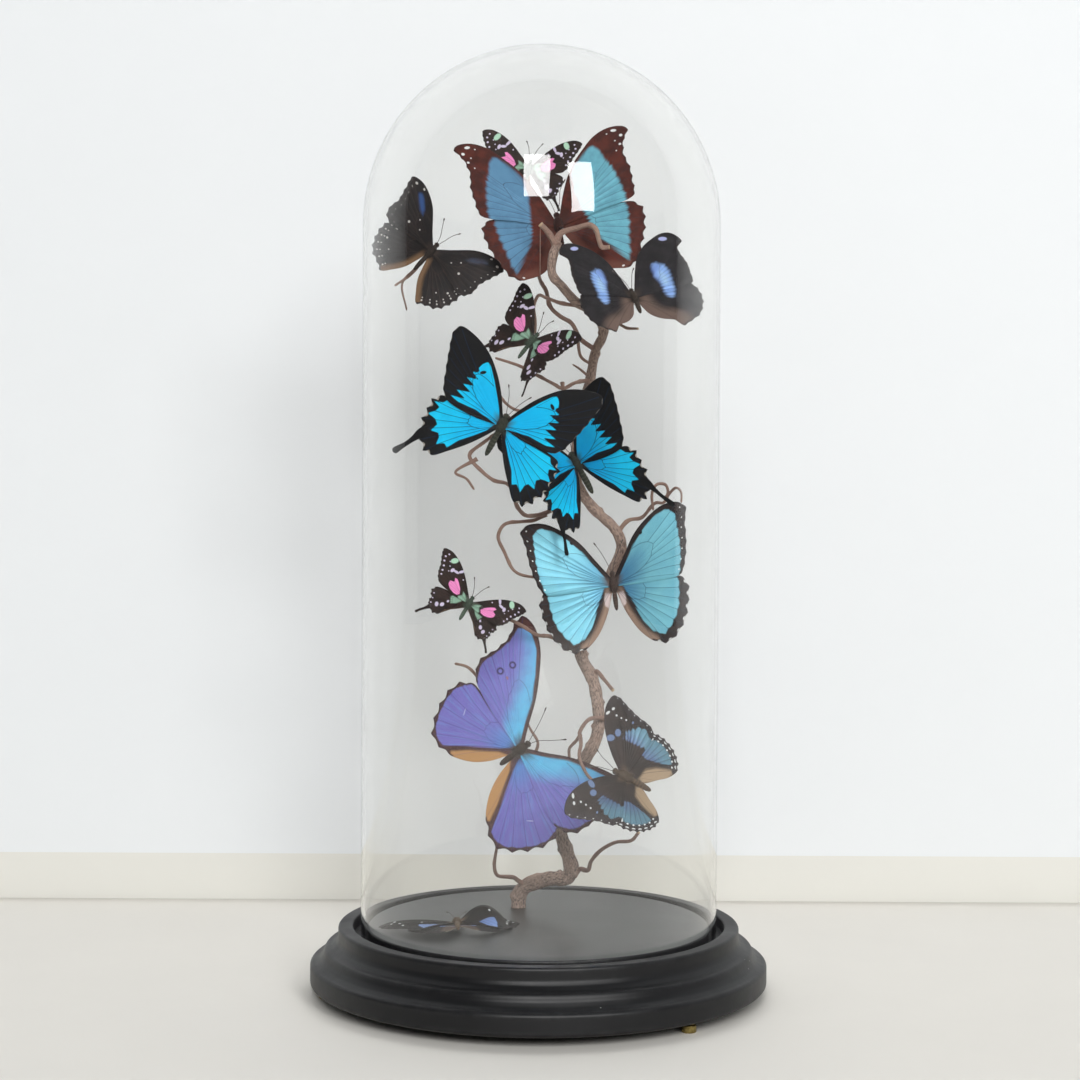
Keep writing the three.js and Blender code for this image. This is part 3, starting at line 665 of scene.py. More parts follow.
TWIGS = {
    "twig_low_right": [
        ([(24, 29, 70), (28, 27, 75), (33, 22, 75), (35, 17, 82), (41, 12, 90), (51, 5, 97), (61, 0, 99),
            (66, -2, 105)], 1.51, 0.98),
    ],
    "twig_low_left": [
        ([(-8, 45, 60), (-14, 42, 64), (-17, 38, 67), (-28, 30, 70), (-30, 27, 76), (-28, 26, 92),
            (-26, 27, 108)], 1.51, 0.75),
    ],
    "twig_side_stub": [([(37, 25, 198), (38, 23, 209), (43, 18, 204), (49, 11, 197)], 1.44, 1.05)],
    "twig_to_charaxes": [
        ([(40, 23, 176), (43, 17, 178), (33, 9, 178), (27, 3, 171), (27, -8, 167), (27, -18, 164),
            (26, -28, 157), (33, -38, 145), (42, -45, 143), (50, -48, 147)], 1.44, 0.9),
        ([(27, -2, 169), (24, 3, 164), (20, 6, 159), (20, 8, 152)], 1.01, 0.9),
    ],
    "twig_to_violet_morpho": [
        ([(22, 24, 136), (8, 22, 142), (-6, 20, 150), (-15, 18, 156), (-24, 18, 166)], 1.37, 0.98),
        ([(-8, 20, 151), (-3, 15, 155), (-1, 12, 162), (-6, 12, 171), (-8, 14, 175)], 1.1, 0.7),
        ([(-22, 18, 163), (-36, 17, 196), (-44, 17, 208), (-49, 18, 212), (-57, 18, 214)], 1.0, 0.9),
    ],
    "twig_to_left_swordtail": [
        ([(28, 27, 220), (18, 20, 228), (7, 8, 233), (-3, -13, 236), (-12, -18, 242), (-20, -18, 246),
            (-33, -17, 252), (-46, -16, 256)], 1.66, 0.83),
    ],
    "twig_right_curls": [
        ([(53, 31, 303), (59, 28, 310), (68, 24, 312), (77, 18, 322), (82, 16, 322), (85, 14, 328),
            (83, 12, 334), (77, 10, 334), (74, 10, 328), (75, 12, 317)], 1.3, 0.83),
        ([(84, 15, 326), (90, 8, 332), (93, 5, 329), (93, 3, 322)], 0.86, 0.68),
    ],
    "twig_left": [
        ([(24, 37, 334), (13, 27, 320), (4, 22, 315), (-5, 12, 313), (-11, 0, 314), (-16, -8, 321),
            (-17, -15, 329), (-22, -18, 334), (-30, -21, 336), (-38, -23, 342), (-46, -24, 352),
            (-36, -25, 361), (-26, -27, 368)], 1.51, 1.05),
        ([(-41, -24, 350), (-55, -24, 341), (-48, -22, 337), (-43, -20, 330)], 1.08, 0.75),
        ([(4, 22, 314), (-4, 21, 310), (-12, 18, 309), (-24, 12, 307), (-28, 10, 299), (-24, 12, 289),
            (-17, 16, 276), (-6, 22, 272), (4, 26, 273)], 1.22, 0.98),
    ],
    "twig_to_middle_swordtail": [
        ([(28, -9, 450), (13, -7, 452), (3, -3, 456), (-2, 3, 458), (-5, 5, 451), (-4, 5, 441),
            (-4, 3, 433)], 1.22, 0.9),
    ],
    "twig_behind_top": [
        ([(36, 11, 423), (26, 8, 430), (20, 6, 440), (12, 6, 445), (6, 8, 451), (3, 12, 462), (-1, 18, 470),
            (-3, 30, 487), (-5, 42, 509), (-8, 54, 532), (-9, 55, 547)], 1.51, 0.9),
        ([(-3, 29, 486), (-28, 24, 481), (-48, 18, 479), (-66, 13, 480), (-75, 9, 483), (-86, 6, 472),
            (-97, 4, 464)], 1.08, 0.75),
        ([(-84, 7, 475), (-92, 6, 466), (-89, 5, 448)], 0.86, 0.6),
        ([(24, 8, 433), (26, 10, 419), (33, 17, 414)], 0.94, 0.9),
        ([(-1, -24.5, 499.5), (-1, -20, 482), (-1, -15, 467), (-1, 8, 466), (-1, 18, 470)], 0.25, 0.25),
    ],
    "twig_across": [
        ([(33, 25, 404), (22, 10, 401), (14, 4, 397), (8, 2, 400), (-2, -2, 405), (-14, -6, 411),
            (-30, -10, 416)], 1.37, 0.83),
        ([(14, 5, 401), (15, 1, 390), (16, -6, 380)], 1.08, 0.83),
        ([(33, 24, 405), (26, 22, 411), (21, 20, 414)], 0.9, 0.6),
        ([(25, 37, 384), (10, 20, 385), (-6, 7, 383), (-11, 4, 382), (-17, 4, 383), (-24, 6, 388),
            (-28, 8, 394)], 1.3, 0.8),
    ],
    "twig_to_hook_tip": [
        ([(39, 4, 437), (46, -6, 444), (53, -16, 449), (57, -25, 452)], 1.44, 0.98),
        ([(46, -6, 443), (55, -11, 436), (63, -15, 435)], 1.01, 0.83),
    ],
    "branch_top_fork": [
        ([(9, -21, 488), (4, -23, 496), (-1, -25, 501)], 2.1, 1.8),
        ([(9, -21, 488), (12, -18, 496), (23, -16, 500), (31, -15, 502), (35, -16, 499), (37, -17, 492),
            (39, -17, 487.5), (44, -17, 487.5)], 2.1, 1.3),
    ],
}
CUT_TWIGS = ("branch_top_fork", "twig_side_stub", "twig_low_right", "twig_to_hook_tip")
RING_SPACING = 1.1
FLARE = 0.45  # how much wider a twig is where it grows out of its branch
FLARE_LENGTH = 3.5
KNOT_SPACING = 17.0


def bark_relief(random, length):
    """Factor on a limb's radius: slow waves round and along it, a swollen ring and a scar at each knot."""
    count = max(1, int(length / KNOT_SPACING))
    knots = (np.arange(count) + random.uniform(0.25, 0.75, count)) * length / count
    facing = random.uniform(0, TURN, count)
    phase = random.uniform(0, TURN, 4)

    def relief(angle, along):
        wave = 0.05 * np.sin(2 * angle + 0.09 * along + phase[0])
        wave = wave + 0.04 * np.sin(3 * angle - 0.17 * along + phase[1])
        wave = wave + 0.035 * np.sin(6 * angle + 0.4 * along + phase[2])
        wave = wave + 0.04 * np.sin(0.5 * along + phase[3])
        off = along[..., None] - knots
        round_about = 0.5 + 0.5 * np.cos(angle[..., None] - facing)
        ring = 0.08 * np.exp(-((off / 1.4) ** 2))
        scar = 0.26 * np.exp(-((off / 1.8) ** 2)) * round_about**6
        return 1 + wave + (ring + scar).sum(-1)

    return relief


def grown_limb(points, start, tip, sides, random, cut):
    """A twig along a smooth route: it tapers evenly, wider at its root. Its tip is rounded or cut flat."""
    route = smooth_route(points)
    length = lengths_along(route)[-1]
    where = np.linspace(0, length, max(8, int(length / RING_SPACING)))
    route = at_lengths(route, where)
    radius = start + (tip - start) * where / length
    radius = radius * (1 + FLARE * min(1, start) * np.exp(-where / FLARE_LENGTH))
    left = np.clip((length - where) / tip, 0, 1)
    if not cut:
        radius = radius * np.sqrt(1 - (1 - left) ** 2 * 0.75)
    limb = tube(route, radius, sides, bark_relief(random, length))
    limb.fields["thin"] = np.ones(len(limb.points))
    if cut:
        limb.fields["wood"] = np.repeat(np.arange(len(route) + 2) >= len(route), sides).astype(float)
    return limb


def grown_stem(sides, random):
    """The stem along its route, as thick at each share of its length as its table says."""
    route = smooth_route(STEM)
    length = lengths_along(route)[-1]
    where = np.linspace(0, length, int(length / RING_SPACING))
    share, thickness = np.array(STEM_RADII).T
    radius = np.interp(where / length, share, thickness)
    return tube(at_lengths(route, where), radius, sides, bark_relief(random, length))


# ---- Butterflies ----
# Right wing in the plane of the body: x is away from it and y towards the head. Each outline runs from the
# front of the hinge round the tip and back. margin gives the points where the outer margin starts and ends.
SPECIES = {
    "banded_morpho": {
        "fore": [(3, 5), (12, 23), (23, 38), (34, 47), (45, 54), (56, 56), (65, 53), (67, 49), (62, 42),
            (58, 31), (58, 21), (56, 11), (52, -1), (28, -2), (2, -1)],
        "fore_margin": (7, 12),
        "hind": [(2, 3), (28, 3), (50, 0), (55, -6), (54, -16), (51, -25), (46, -35), (41, -44), (34, -47),
            (27, -45), (20, -42), (14, -37), (9, -27), (4, -12), (2, -4)],
        "hind_margin": (2, 8),
        "scallop": (1.0, 1.5),
        "head": 11, "tail": -21, "thorax": 3.4,
        "patch": {
            "fore": [(17, -8), (17, 10), (17.5, 22), (21, 34), (27, 41), (33, 46), (39, 50), (43, 48),
                (46, 41), (47.5, 32), (49, 24), (49.5, 12), (49, 2), (48, -8)],
            "hind": [(17, 8), (18, -8), (20, -17), (24, -25), (28, -32), (33, -41), (36, -44), (39, -40),
                (40.5, -34), (42, -27), (44, -20), (46, -13), (47, -6), (48.5, 8)],
        },
        "teeth": (1.1, 1.5),
        "dots": [(58, 52.3, 1.9, 1.1, -20), (61, 46.6, 1.1, 1.1, 0), (58, 40, 0.9, 0.9, 0),
            (56, 44, 0.5, 0.5, 0), (53, 51.5, 0.5, 0.5, 0), (54, 36, 0.5, 0.5, 0), (31, -44.5, 0.9, 0.6, 0)],
    },
    "swordtail": {
        "fore": [(1.5, 3), (9, 10), (16, 16), (23, 20), (31, 22), (36, 20), (35, 15), (31.5, 8), (30, 3),
            (26, -3), (14, -4), (1.5, -1)],
        "fore_margin": (5, 9),
        "hind": [(1.5, 1), (12, -1), (25, -4), (27, -8), (25, -13), (25, -17), (22, -20.5), (19, -23),
            (15, -21), (12, -15), (7, -10), (1.5, -4)],
        "hind_margin": (2, 8),
        "tail_strip": [(18, -15, 1.5), (21, -18, 1.8), (24, -22.5, 0.9), (26.5, -26, 0.8),
            (28.5, -29.5, 0.9)],
        "scallop": (0.35, 0.9),
        "head": 7, "tail": -14, "thorax": 2.4,
        "patch": {
            "fore": [(9, 0.5), (11, 3.8), (14, 6.4), (16.8, 8.2), (18.6, 7.2), (17.4, 4.6), (20.2, 3.4),
                (19.8, 0.2), (17, -2), (13.5, -2.6), (10.5, -1.8)],
        },
        "patch_too": {
            "fore": [(2, -1), (3, 2), (6, 4), (9, 4.5), (8, 1.5), (10, -1.5), (9, -4)],
            "hind": [(3, 1), (8, 0), (13, -2), (14, -4.5), (11.5, -9.5), (7.5, -6)],
        },
        "teeth": (0, 0),
        "dots": [(25.3, 17.4, 1.8, 3.1, 30)],
        "dots_too": [(17, 14.6, 0.9, 2.8, 32), (20, 11.4, 2.1, 1.0, -12), (22.8, 10.4, 1.1, 1.9, 12),
            (30.8, 18.6, 0.6, 0.6, 0), (32, 15.6, 0.7, 0.7, 0), (31, 12.2, 0.7, 0.7, 0),
            (29.3, 9, 0.65, 0.65, 0), (28.2, 5.8, 0.65, 0.65, 0), (27.2, 2.8, 0.6, 0.6, 0),
            (27.5, 14.6, 0.45, 0.45, 0), (25.8, 11.6, 0.45, 0.45, 0), (24.6, 8, 0.45, 0.45, 0),
            (13, 10.5, 0.5, 0.5, 0), (15.8, -13.2, 1.2, 1.8, 20), (19, -15.4, 1.2, 1.8, -10),
            (22.8, -16.6, 0.5, 0.5, 0), (24, -9, 0.5, 0.5, 0), (23.2, -12.8, 0.5, 0.5, 0),
            (13.4, -8.4, 0.7, 1.1, 20)],
    },
    "brown_nymph": {
        "fore": [(1.5, 4), (11, 12), (20, 20.5), (29, 25), (37, 26.5), (43.5, 24), (42, 15), (40, 6),
            (41, -1), (39, -7), (34, -9), (18, -4), (1.5, -1)],
        "fore_margin": (5, 10),
        "hind": [(1.5, 1), (16, -3), (33, -6), (36, -13), (35, -20), (32, -27), (28, -31), (22, -33),
            (17, -35), (11, -28), (6, -20), (1.5, -6)],
        "hind_margin": (2, 8),
        "scallop": (0.7, 1.3),
        "head": 8, "tail": -17, "thorax": 2.8,
        "patch": {"fore": [(19, 10), (22, 16), (28, 21), (32, 22.5), (35, 19.5), (31, 15.5), (25, 11)]},
        "teeth": (0, 0),
        "dots": [(25, 1.5, 0.8, 0.8, 0), (20.5, 8, 0.5, 0.5, 0), (16, 3.5, 0.5, 0.5, 0),
            (32.3, 24, 0.9, 0.6, 30), (38.6, 23, 1.0, 0.8, 0), (28, -16.5, 0.7, 0.7, 0),
            (22, -21, 0.5, 0.5, 0)],
        "rows": {"hind": [(2.4, 0.6, 0.6), (4.4, 0.5, 0.5)], "fore": [(3.2, 0.35, 0.35)]},
    },
    "hook_tip": {
        "fore": [(1.5, 3), (9, 22), (14, 31), (21, 38), (29, 42), (36, 44), (42, 42), (46, 33), (42, 30),
            (41, 24), (42, 13), (41, 4), (39, -4), (20, -3), (1.5, -1)],
        "fore_margin": (7, 12),
        "hind": [(1.5, 2), (20, 0), (38, -2), (41, -8), (41, -17), (38, -25), (34, -30), (28, -33),
            (22, -35), (19, -29), (11, -24), (5, -17), (1.5, -5)],
        "hind_margin": (2, 8),
        "scallop": (0.3, 0.8),
        "head": 8, "tail": -14, "thorax": 2.8,
        "patch": {
            "fore": [(18, -8), (17.5, 4), (16, 10), (16.5, 16), (19, 22.5), (24, 22.5), (29, 18.5),
                (30.5, 11), (29.5, 3), (28, -8)],
            "hind": [(18, 5), (17.5, -4), (19, -9), (22, -12), (26, -11), (28.5, -5), (29, 5)],
        },
        "patch_too": {"fore": [(19, 1), (19.5, 10), (22, 15), (26, 13), (27.5, 6), (26, -1), (22, -3)]},
        "teeth": (0.7, 0.7),
        "dots": [(34.8, 38.8, 2.8, 1.8, -20)],
    },
    "ulysses": {
        "fore": [(2, 6), (11, 21), (19, 31), (29, 40), (42, 46), (53, 47), (56, 42), (53, 28), (49, 15),
            (45, 4), (40, -1), (20, -3), (2, -1)],
        "fore_margin": (5, 10),
        "hind": [(2, 3), (24, 1), (44, -1), (49, -6), (49, -15), (49, -23), (46, -29), (43, -36), (37, -41),
            (31, -40), (24, -33), (14, -22), (6, -11), (2, -4)],
        "hind_margin": (2, 9),
        "tail_strip": [(40, -25, 2.8), (44, -30, 3.4), (47, -36, 1.9), (50, -42, 1.5), (53, -47, 2.0),
            (55, -51, 2.5)],
        "scallop": (0.5, 2.4),
        "head": 9, "tail": -24, "thorax": 3.9,
        "patch": {
            "fore": [(2, -4), (3, 3), (6, 9), (10, 15), (17, 24.5), (21, 29.5), (24, 33), (27, 34.5),
                (29.5, 31.5), (31, 27), (28.5, 25.5), (34, 23.8), (27.5, 20.8), (36, 18.8), (28, 15.8),
                (36, 13.6), (28.5, 10.8), (38, 8), (30, 5.2), (40, 3), (33, 1), (20, 1.6), (5, -1)],
            "hind": [(2, 3), (20, 1), (38, 0.5), (41, -4.6), (47, -7), (42, -9), (43, -12), (47, -16.5),
                (40.5, -17.5), (38, -20), (40, -26), (34.5, -25), (33, -27), (32.5, -33), (28, -29),
                (25, -31), (20, -22.5), (12, -14), (7, -8)],
        },
        "teeth": (0, 0),
        "marks": [(26.6, 26.4, 1.1, 2.2, 50)],
        "rows": {"hind": [(0.5, 0.45, 1.7)]},
    },
    "sky_morpho": {
        "fore": [(2, 6), (11, 18), (20, 30), (31, 39), (43, 45), (53, 45), (58, 41), (56, 31), (55, 20),
            (52, 7), (47, -2), (26, -3), (2, -1)],
        "fore_margin": (5, 10),
        "hind": [(2, 3), (26, 1), (47, -1), (51, -7), (50, -17), (48, -25), (44, -33), (38, -40), (31, -43),
            (23, -40), (15, -33), (9, -24), (4, -13), (2, -4)],
        "hind_margin": (2, 9),
        "scallop": (0.6, 1.3),
        "head": 10, "tail": -17, "thorax": 2.9,
        "patch": {
            "fore": [(2, -8), (3, 3), (10, 13.5), (18, 24.5), (27, 33.5), (36, 39.5), (44, 42.8), (48, 42),
                (51, 37), (51, 28), (51, 19), (50, 9), (47, -2), (46, -8)],
            "hind": [(2, 6), (46, 6), (45.5, -1), (45.5, -8), (44.5, -15), (43, -22), (40, -28), (36.5, -33),
                (32, -37.5), (27, -37), (23, -34), (17, -27), (14, -20), (11, -12), (7, -5)],
        },
        "patch_too": {"hind": [(2, -5), (6, -3), (8, -8), (8, -13), (5, -16), (3, -12)]},
        "teeth": (0.8, 1.0),
        "marks": [(25.3, 30, 1.3, 0.8, 48)],
        "rows": {"fore": [(2.6, 0.4, 0.55)], "hind": [(0.5, 0.4, 1.3)]},
    },
    "violet_morpho": {
        "fore": [(2, 5), (11, 15), (21, 27), (33, 38), (47, 48), (61, 52), (70, 49), (70, 43), (64, 33),
            (62, 22), (62, 10), (57, 3), (51, 0), (27, -2), (2, -1)],
        "fore_margin": (6, 12),
        "hind": [(2, 3), (30, 1), (54, 1), (60, -4), (62, -13), (60, -22), (55, -33), (50, -40), (43, -46),
            (33, -46), (24, -42), (13, -33), (6, -22), (2, -10)],
        "hind_margin": (2, 10),
        "scallop": (1.0, 1.9),
        "head": 9, "tail": -17, "thorax": 3.6,
        "patch": {
            "fore": [(2, -8), (3, 3), (12, 14), (22, 26), (34, 37), (47, 46), (58, 49), (64, 46.5), (66, 42),
                (62, 33), (60.5, 22), (60, 10), (55, 3), (50, -8)],
            "hind": [(2, 6), (54, 6), (58, -4), (60, -13), (58, -22), (53, -32), (48, -39), (42, -43.5),
                (33, -44), (29, -39), (22, -29), (15, -20), (8, -11), (4, -5)],
        },
        "patch_too": {"hind": [(1, -7), (8, -12), (15, -21), (22, -30), (28, -40), (25, -48), (0, -30)]},
        "teeth": (0.6, 0.7),
        "rings": [(47.5, 26.5, 2.4, 2.4, 0), (48.5, 17.5, 2.4, 2.4, 0)],
        "dots_too": [(42.5, 19, 1.2, 0.7, 20)],
        "dots": [(42.5, -16, 0.4, 2.6, -35)],
    },
    "charaxes": {
        "fore": [(1.5, 5), (9, 14), (18, 22), (27, 27), (36, 29), (44, 27), (45, 23), (42, 15), (39, 7),
            (37, -2), (33, -6), (16, -4), (1.5, -1)],
        "fore_margin": (5, 10),
        "hind": [(1.5, 2), (18, -2), (34, -5), (35, -12), (32, -20), (28, -25), (24, -28), (19, -29),
            (13, -26), (7, -19), (1.5, -12), (1.5, -5)],
        "hind_margin": (2, 7),
        "scallop": (0.4, 1.0),
        "head": 9, "tail": -19, "thorax": 3.5,
        "patch": {
            "fore": [(20.5, -8), (20, 3), (20, 11.5), (26, 12.5), (30, 8.5), (33, 5.5), (34.5, 1), (34, -8)],
            "hind": [(18, 1), (15.5, -8), (17, -16), (19, -23), (21.5, -27.5), (24.5, -25.5), (28.5, -20),
                (32, -12), (33, 1)],
        },
        "patch_too": {"hind": [(2, -7), (11, -8.5), (15.5, -15), (18, -22), (20, -30), (8, -26), (0, -12)]},
        "teeth": (1.6, 0.6),
        "dots": [(31.5, 26.2, 1.7, 0.8, -25), (35.6, 24, 1.2, 0.8, -20), (32.6, 20.5, 0.7, 0.7, 0),
            (32.6, 17, 0.6, 0.6, 0), (33, 13.6, 0.6, 0.6, 0)],
        "dots_too": [(17.6, 18.4, 2.0, 2.7, 38), (22.8, 15.4, 2.4, 1.9, 20), (33.5, 9, 0.9, 0.6, 0)],
        "rows": {"hind": [(1.3, 0.4, 1.3), (3.5, 0.55, 0.8)], "fore": [(1.2, 0.3, 0.5)]},
    },
}

SPECIES["floor_charaxes"] = {
    **SPECIES["charaxes"],
    "patch": {
        "fore": [(15, -1.5), (22, 7), (25, 9.5), (28.5, 5), (31, -4), (25, -3), (20, -2)],
        "hind": [(2, -8), (8, -9.5), (15, -9), (15, -12), (8, -13), (3, -12)],
    },
    "teeth": (0.4, 0.3),
    "scallop": (0.9, 1.5),
    "dots": [(31.5, 26.2, 1.4, 0.8, -25), (35.6, 24, 1.0, 0.8, -20), (32, 20, 0.9, 0.9, 0),
        (33, 15, 0.8, 0.9, 0), (20, 12, 0.8, 0.8, 0)],
    "dots_too": [],
    "rows": {},
}

# Where each specimen sits: place of its thorax, turn about X (from facing front), Y and Z in degrees, lift of
# the left and right wings, forward sweep of the forewings, size, size of its forewings and of its hindwings.
SPECIMENS = {
    "banded_morpho": {"at": (11, 9, 504), "turn": (-28, 3, 8), "lift": (16, 16), "sweep": (4, 12),
        "size": 1.04, "hind_size": (0.95, 1), "hind_sweep": (0, 7)},
    "top_swordtail": {"kind": "swordtail", "at": (-9, 44, 548), "turn": (-16, -5, -12), "lift": (13, 13),
        "sweep": (-2, 3), "size": 1, "fore_size": (1, 0.97)},
    "brown_nymph": {"at": (-73, 0, 486), "turn": (-9, 16, -40), "lift": (21, 21), "sweep": (0, -7),
        "size": 1.01},
    "hook_tip": {"at": (59, -36, 453), "turn": (-39, 6, 17), "lift": (15, 15), "sweep": (7, 2), "size": 0.98,
        "hind_sweep": (5, 0)},
    "middle_swordtail": {"kind": "swordtail", "at": (-6, -8, 427), "turn": (-24, -31, -49), "lift": (13, 13),
        "sweep": (6, 1), "size": 1.04, "fore_size": (0.98, 1.04)},
    "front_ulysses": {"kind": "ulysses", "at": (-25, -38, 371), "turn": (12, -10, -28), "lift": (7, 7),
        "sweep": (-1, 5), "size": 0.97, "lost_tail": 1},
    "back_ulysses": {"kind": "ulysses", "at": (24, 20, 348), "turn": (8, 8, 29), "lift": (41, 43),
        "sweep": (0, 1), "size": 1, "hind_size": (0.88, 0.98)},
    "sky_morpho": {"at": (49, 14, 267), "turn": (-8, -6, 7), "lift": (16, 16), "sweep": (0, 3),
        "size": 1.01},
    "left_swordtail": {"kind": "swordtail", "at": (-46, -27, 256), "turn": (-29, 21, -26), "lift": (11, 11),
        "sweep": (5, -5), "size": 0.97, "fore_size": (1, 0.95), "hind_size": (1, 0.92)},
    "violet_morpho": {"at": (-13, 4, 158), "turn": (-4, -22, -55), "lift": (11, 11), "sweep": (4, -3),
        "size": 1.05, "fore_size": (1, 1.07), "hind_size": (0.94, 1)},
    "charaxes": {"at": (54, -56, 149), "turn": (-28, 20, 69), "lift": (10, 10), "sweep": (1, 0),
        "size": 1.02, "fore_size": (1.03, 1)},
    "floor_charaxes": {"at": (-53, -21, 48.5), "turn": (-91, 0, 5), "lift": (-1, -5), "sweep": (-36, -16),
        "size": 0.92, "arch": (0, 10), "fore_size": (1.07, 1), "hind_sweep": (-14, 0),
        "hind_size": (1.1, 0.9)},
}
CELLS = 7  # spaces between veins along an outer margin
CELL_COLUMNS = 12
COSTA_CELLS = 3
COSTA_COLUMNS = 12
INNER_CELLS = 2
INNER_COLUMNS = 10
WING_ROWS = 30
RAY_BEND = 0.4  # how much a ray leans towards the wing's middle before it bends out
CELL_END = {"fore": 0.54, "hind": 0.44}  # how far out a wing's closed middle cell ends
HALF_THICKNESS = 0.16
ARCH_WIDTH = 36.0  # an arched wing stands up between the body and this distance from it
ARCH_FOOT = -8.0  # and from here forwards
ARCH_DEPTH = 16.0
HIND_DROP = 0.75  # how far a hindwing lies under its forewing
FAR_OFF = 9.0  # stands for a distance so large that a marking doesn't show
NO_INNER = 60.0  # the same for a forewing's inner margin
TAIL_ROWS = 40
TAIL_SIDES = 12
BODY_ROWS = 90
BODY_SIDES = 20
HAIRS = 900
FEELER_ROWS = 30
FEELER_SIDES = 6
LEG_ROWS = 18
LEG_SIDES = 5
PIN_ROWS = 6
PIN_SIDES = 8
PIN_RADIUS = 0.35
COAT, HORN, PIN = 1, 2, 3  # places of a specimen's materials after its wings


def polygon_depth(x, y, corners):
    """Distance to a polygon's nearest edge, positive inside it: the side comes from the crossing rule."""
    first = np.asarray(corners, float)
    second = np.roll(first, -1, axis=0)
    edge = second - first
    px = x[..., None] - first[:, 0]
    py = y[..., None] - first[:, 1]
    share = np.clip((px * edge[:, 0] + py * edge[:, 1]) / (edge**2).sum(1), 0, 1)
    away = np.hypot(px - share * edge[:, 0], py - share * edge[:, 1]).min(-1)
    above = (first[:, 1] > y[..., None]) != (second[:, 1] > y[..., None])
    run = np.where(edge[:, 1] == 0, 1e-9, edge[:, 1])
    left = px < edge[:, 0] * py / run
    inside = (above & left).sum(-1) % 2 == 1
    return np.where(inside, away, -away)


def nearest(x, y, line):
    """Distance from each point to the nearest of the points of a line."""
    return np.hypot(x[..., None] - line[:, 0], y[..., None] - line[:, 1]).min(-1)


def wing_plan(species, part):
    """Grid of a right wing's plan: rays from the hinge to the outline, each a quadratic curve.

    A ray leaves the hinge towards the middle of the outer margin and bends out to its own place on the
    outline, as veins do. The outline is a smooth curve, pulled in between the veins.
    """
    outline = smooth_route(species[part])
    travelled = lengths_along(outline)
    total = travelled[-1]
    first, last = (travelled[k * ARC_SAMPLES] for k in species[part + "_margin"])
    costa = np.linspace(0, first, COSTA_CELLS * COSTA_COLUMNS, endpoint=False)
    outer = np.linspace(first, last, CELLS * CELL_COLUMNS, endpoint=False)
    inner = np.linspace(last, total, INNER_CELLS * INNER_COLUMNS + 1)
    where = np.concatenate([costa, outer, inner])
    cell = np.interp(where, [0, first, last, total], [-COSTA_CELLS, 0, CELLS, CELLS + INNER_CELLS])
    rim = at_lengths(outline, where)
    heading = directions(rim)
    outward = np.stack([-heading[:, 1], heading[:, 0]], 1)
    tooth = np.abs(2 * (cell % 1) - 1)
    on_margin = np.clip(cell * 2, 0, 1) * np.clip((CELLS - cell) * 2, 0, 1)
    pull = species["scallop"][0 if part == "fore" else 1]
    rim = rim - outward * (pull * on_margin * (1 - tooth**1.6))[:, None]

    hinge_front = np.array([0.8, min(species[part][0][1], 3) * 0.8])
    hinge_back = np.array([0.8, max(species[part][-1][1], -4) * 0.8])
    hinge = hinge_front + (hinge_back - hinge_front) * (where / total)[:, None]
    middle = at_lengths(outline, [(first + last) / 2])[0]
    axis = (middle - hinge.mean(0)) / np.linalg.norm(middle - hinge.mean(0))
    length = np.linalg.norm(rim - hinge, axis=1)[:, None]
    bend = RAY_BEND * np.clip((cell + 1.5) / 3, 0, 1) * np.clip((CELLS + INNER_CELLS - cell) / 3, 0, 1)
    guide = hinge + 0.5 * (rim - hinge)
    guide = guide + bend[:, None] * (hinge + 0.5 * length * axis - guide)
    share = (1 - (1 - np.linspace(0, 1, WING_ROWS)) ** 1.25)[:, None, None]
    plan = (1 - share) ** 2 * hinge + 2 * share * (1 - share) * guide + share**2 * rim
    return plan[..., 0], plan[..., 1], share[..., 0], cell, tooth, where, rim


def closed_cell(part, cell):
    """How far out the wing's closed middle cell reaches, as a share of each ray."""
    slope = np.interp(cell, [-1.001, -1, 1, 3, 4, 5, 5.6], [0, 0.94, 1, 0.97, 0.82, 0.56, 0])
    return CELL_END[part] * slope


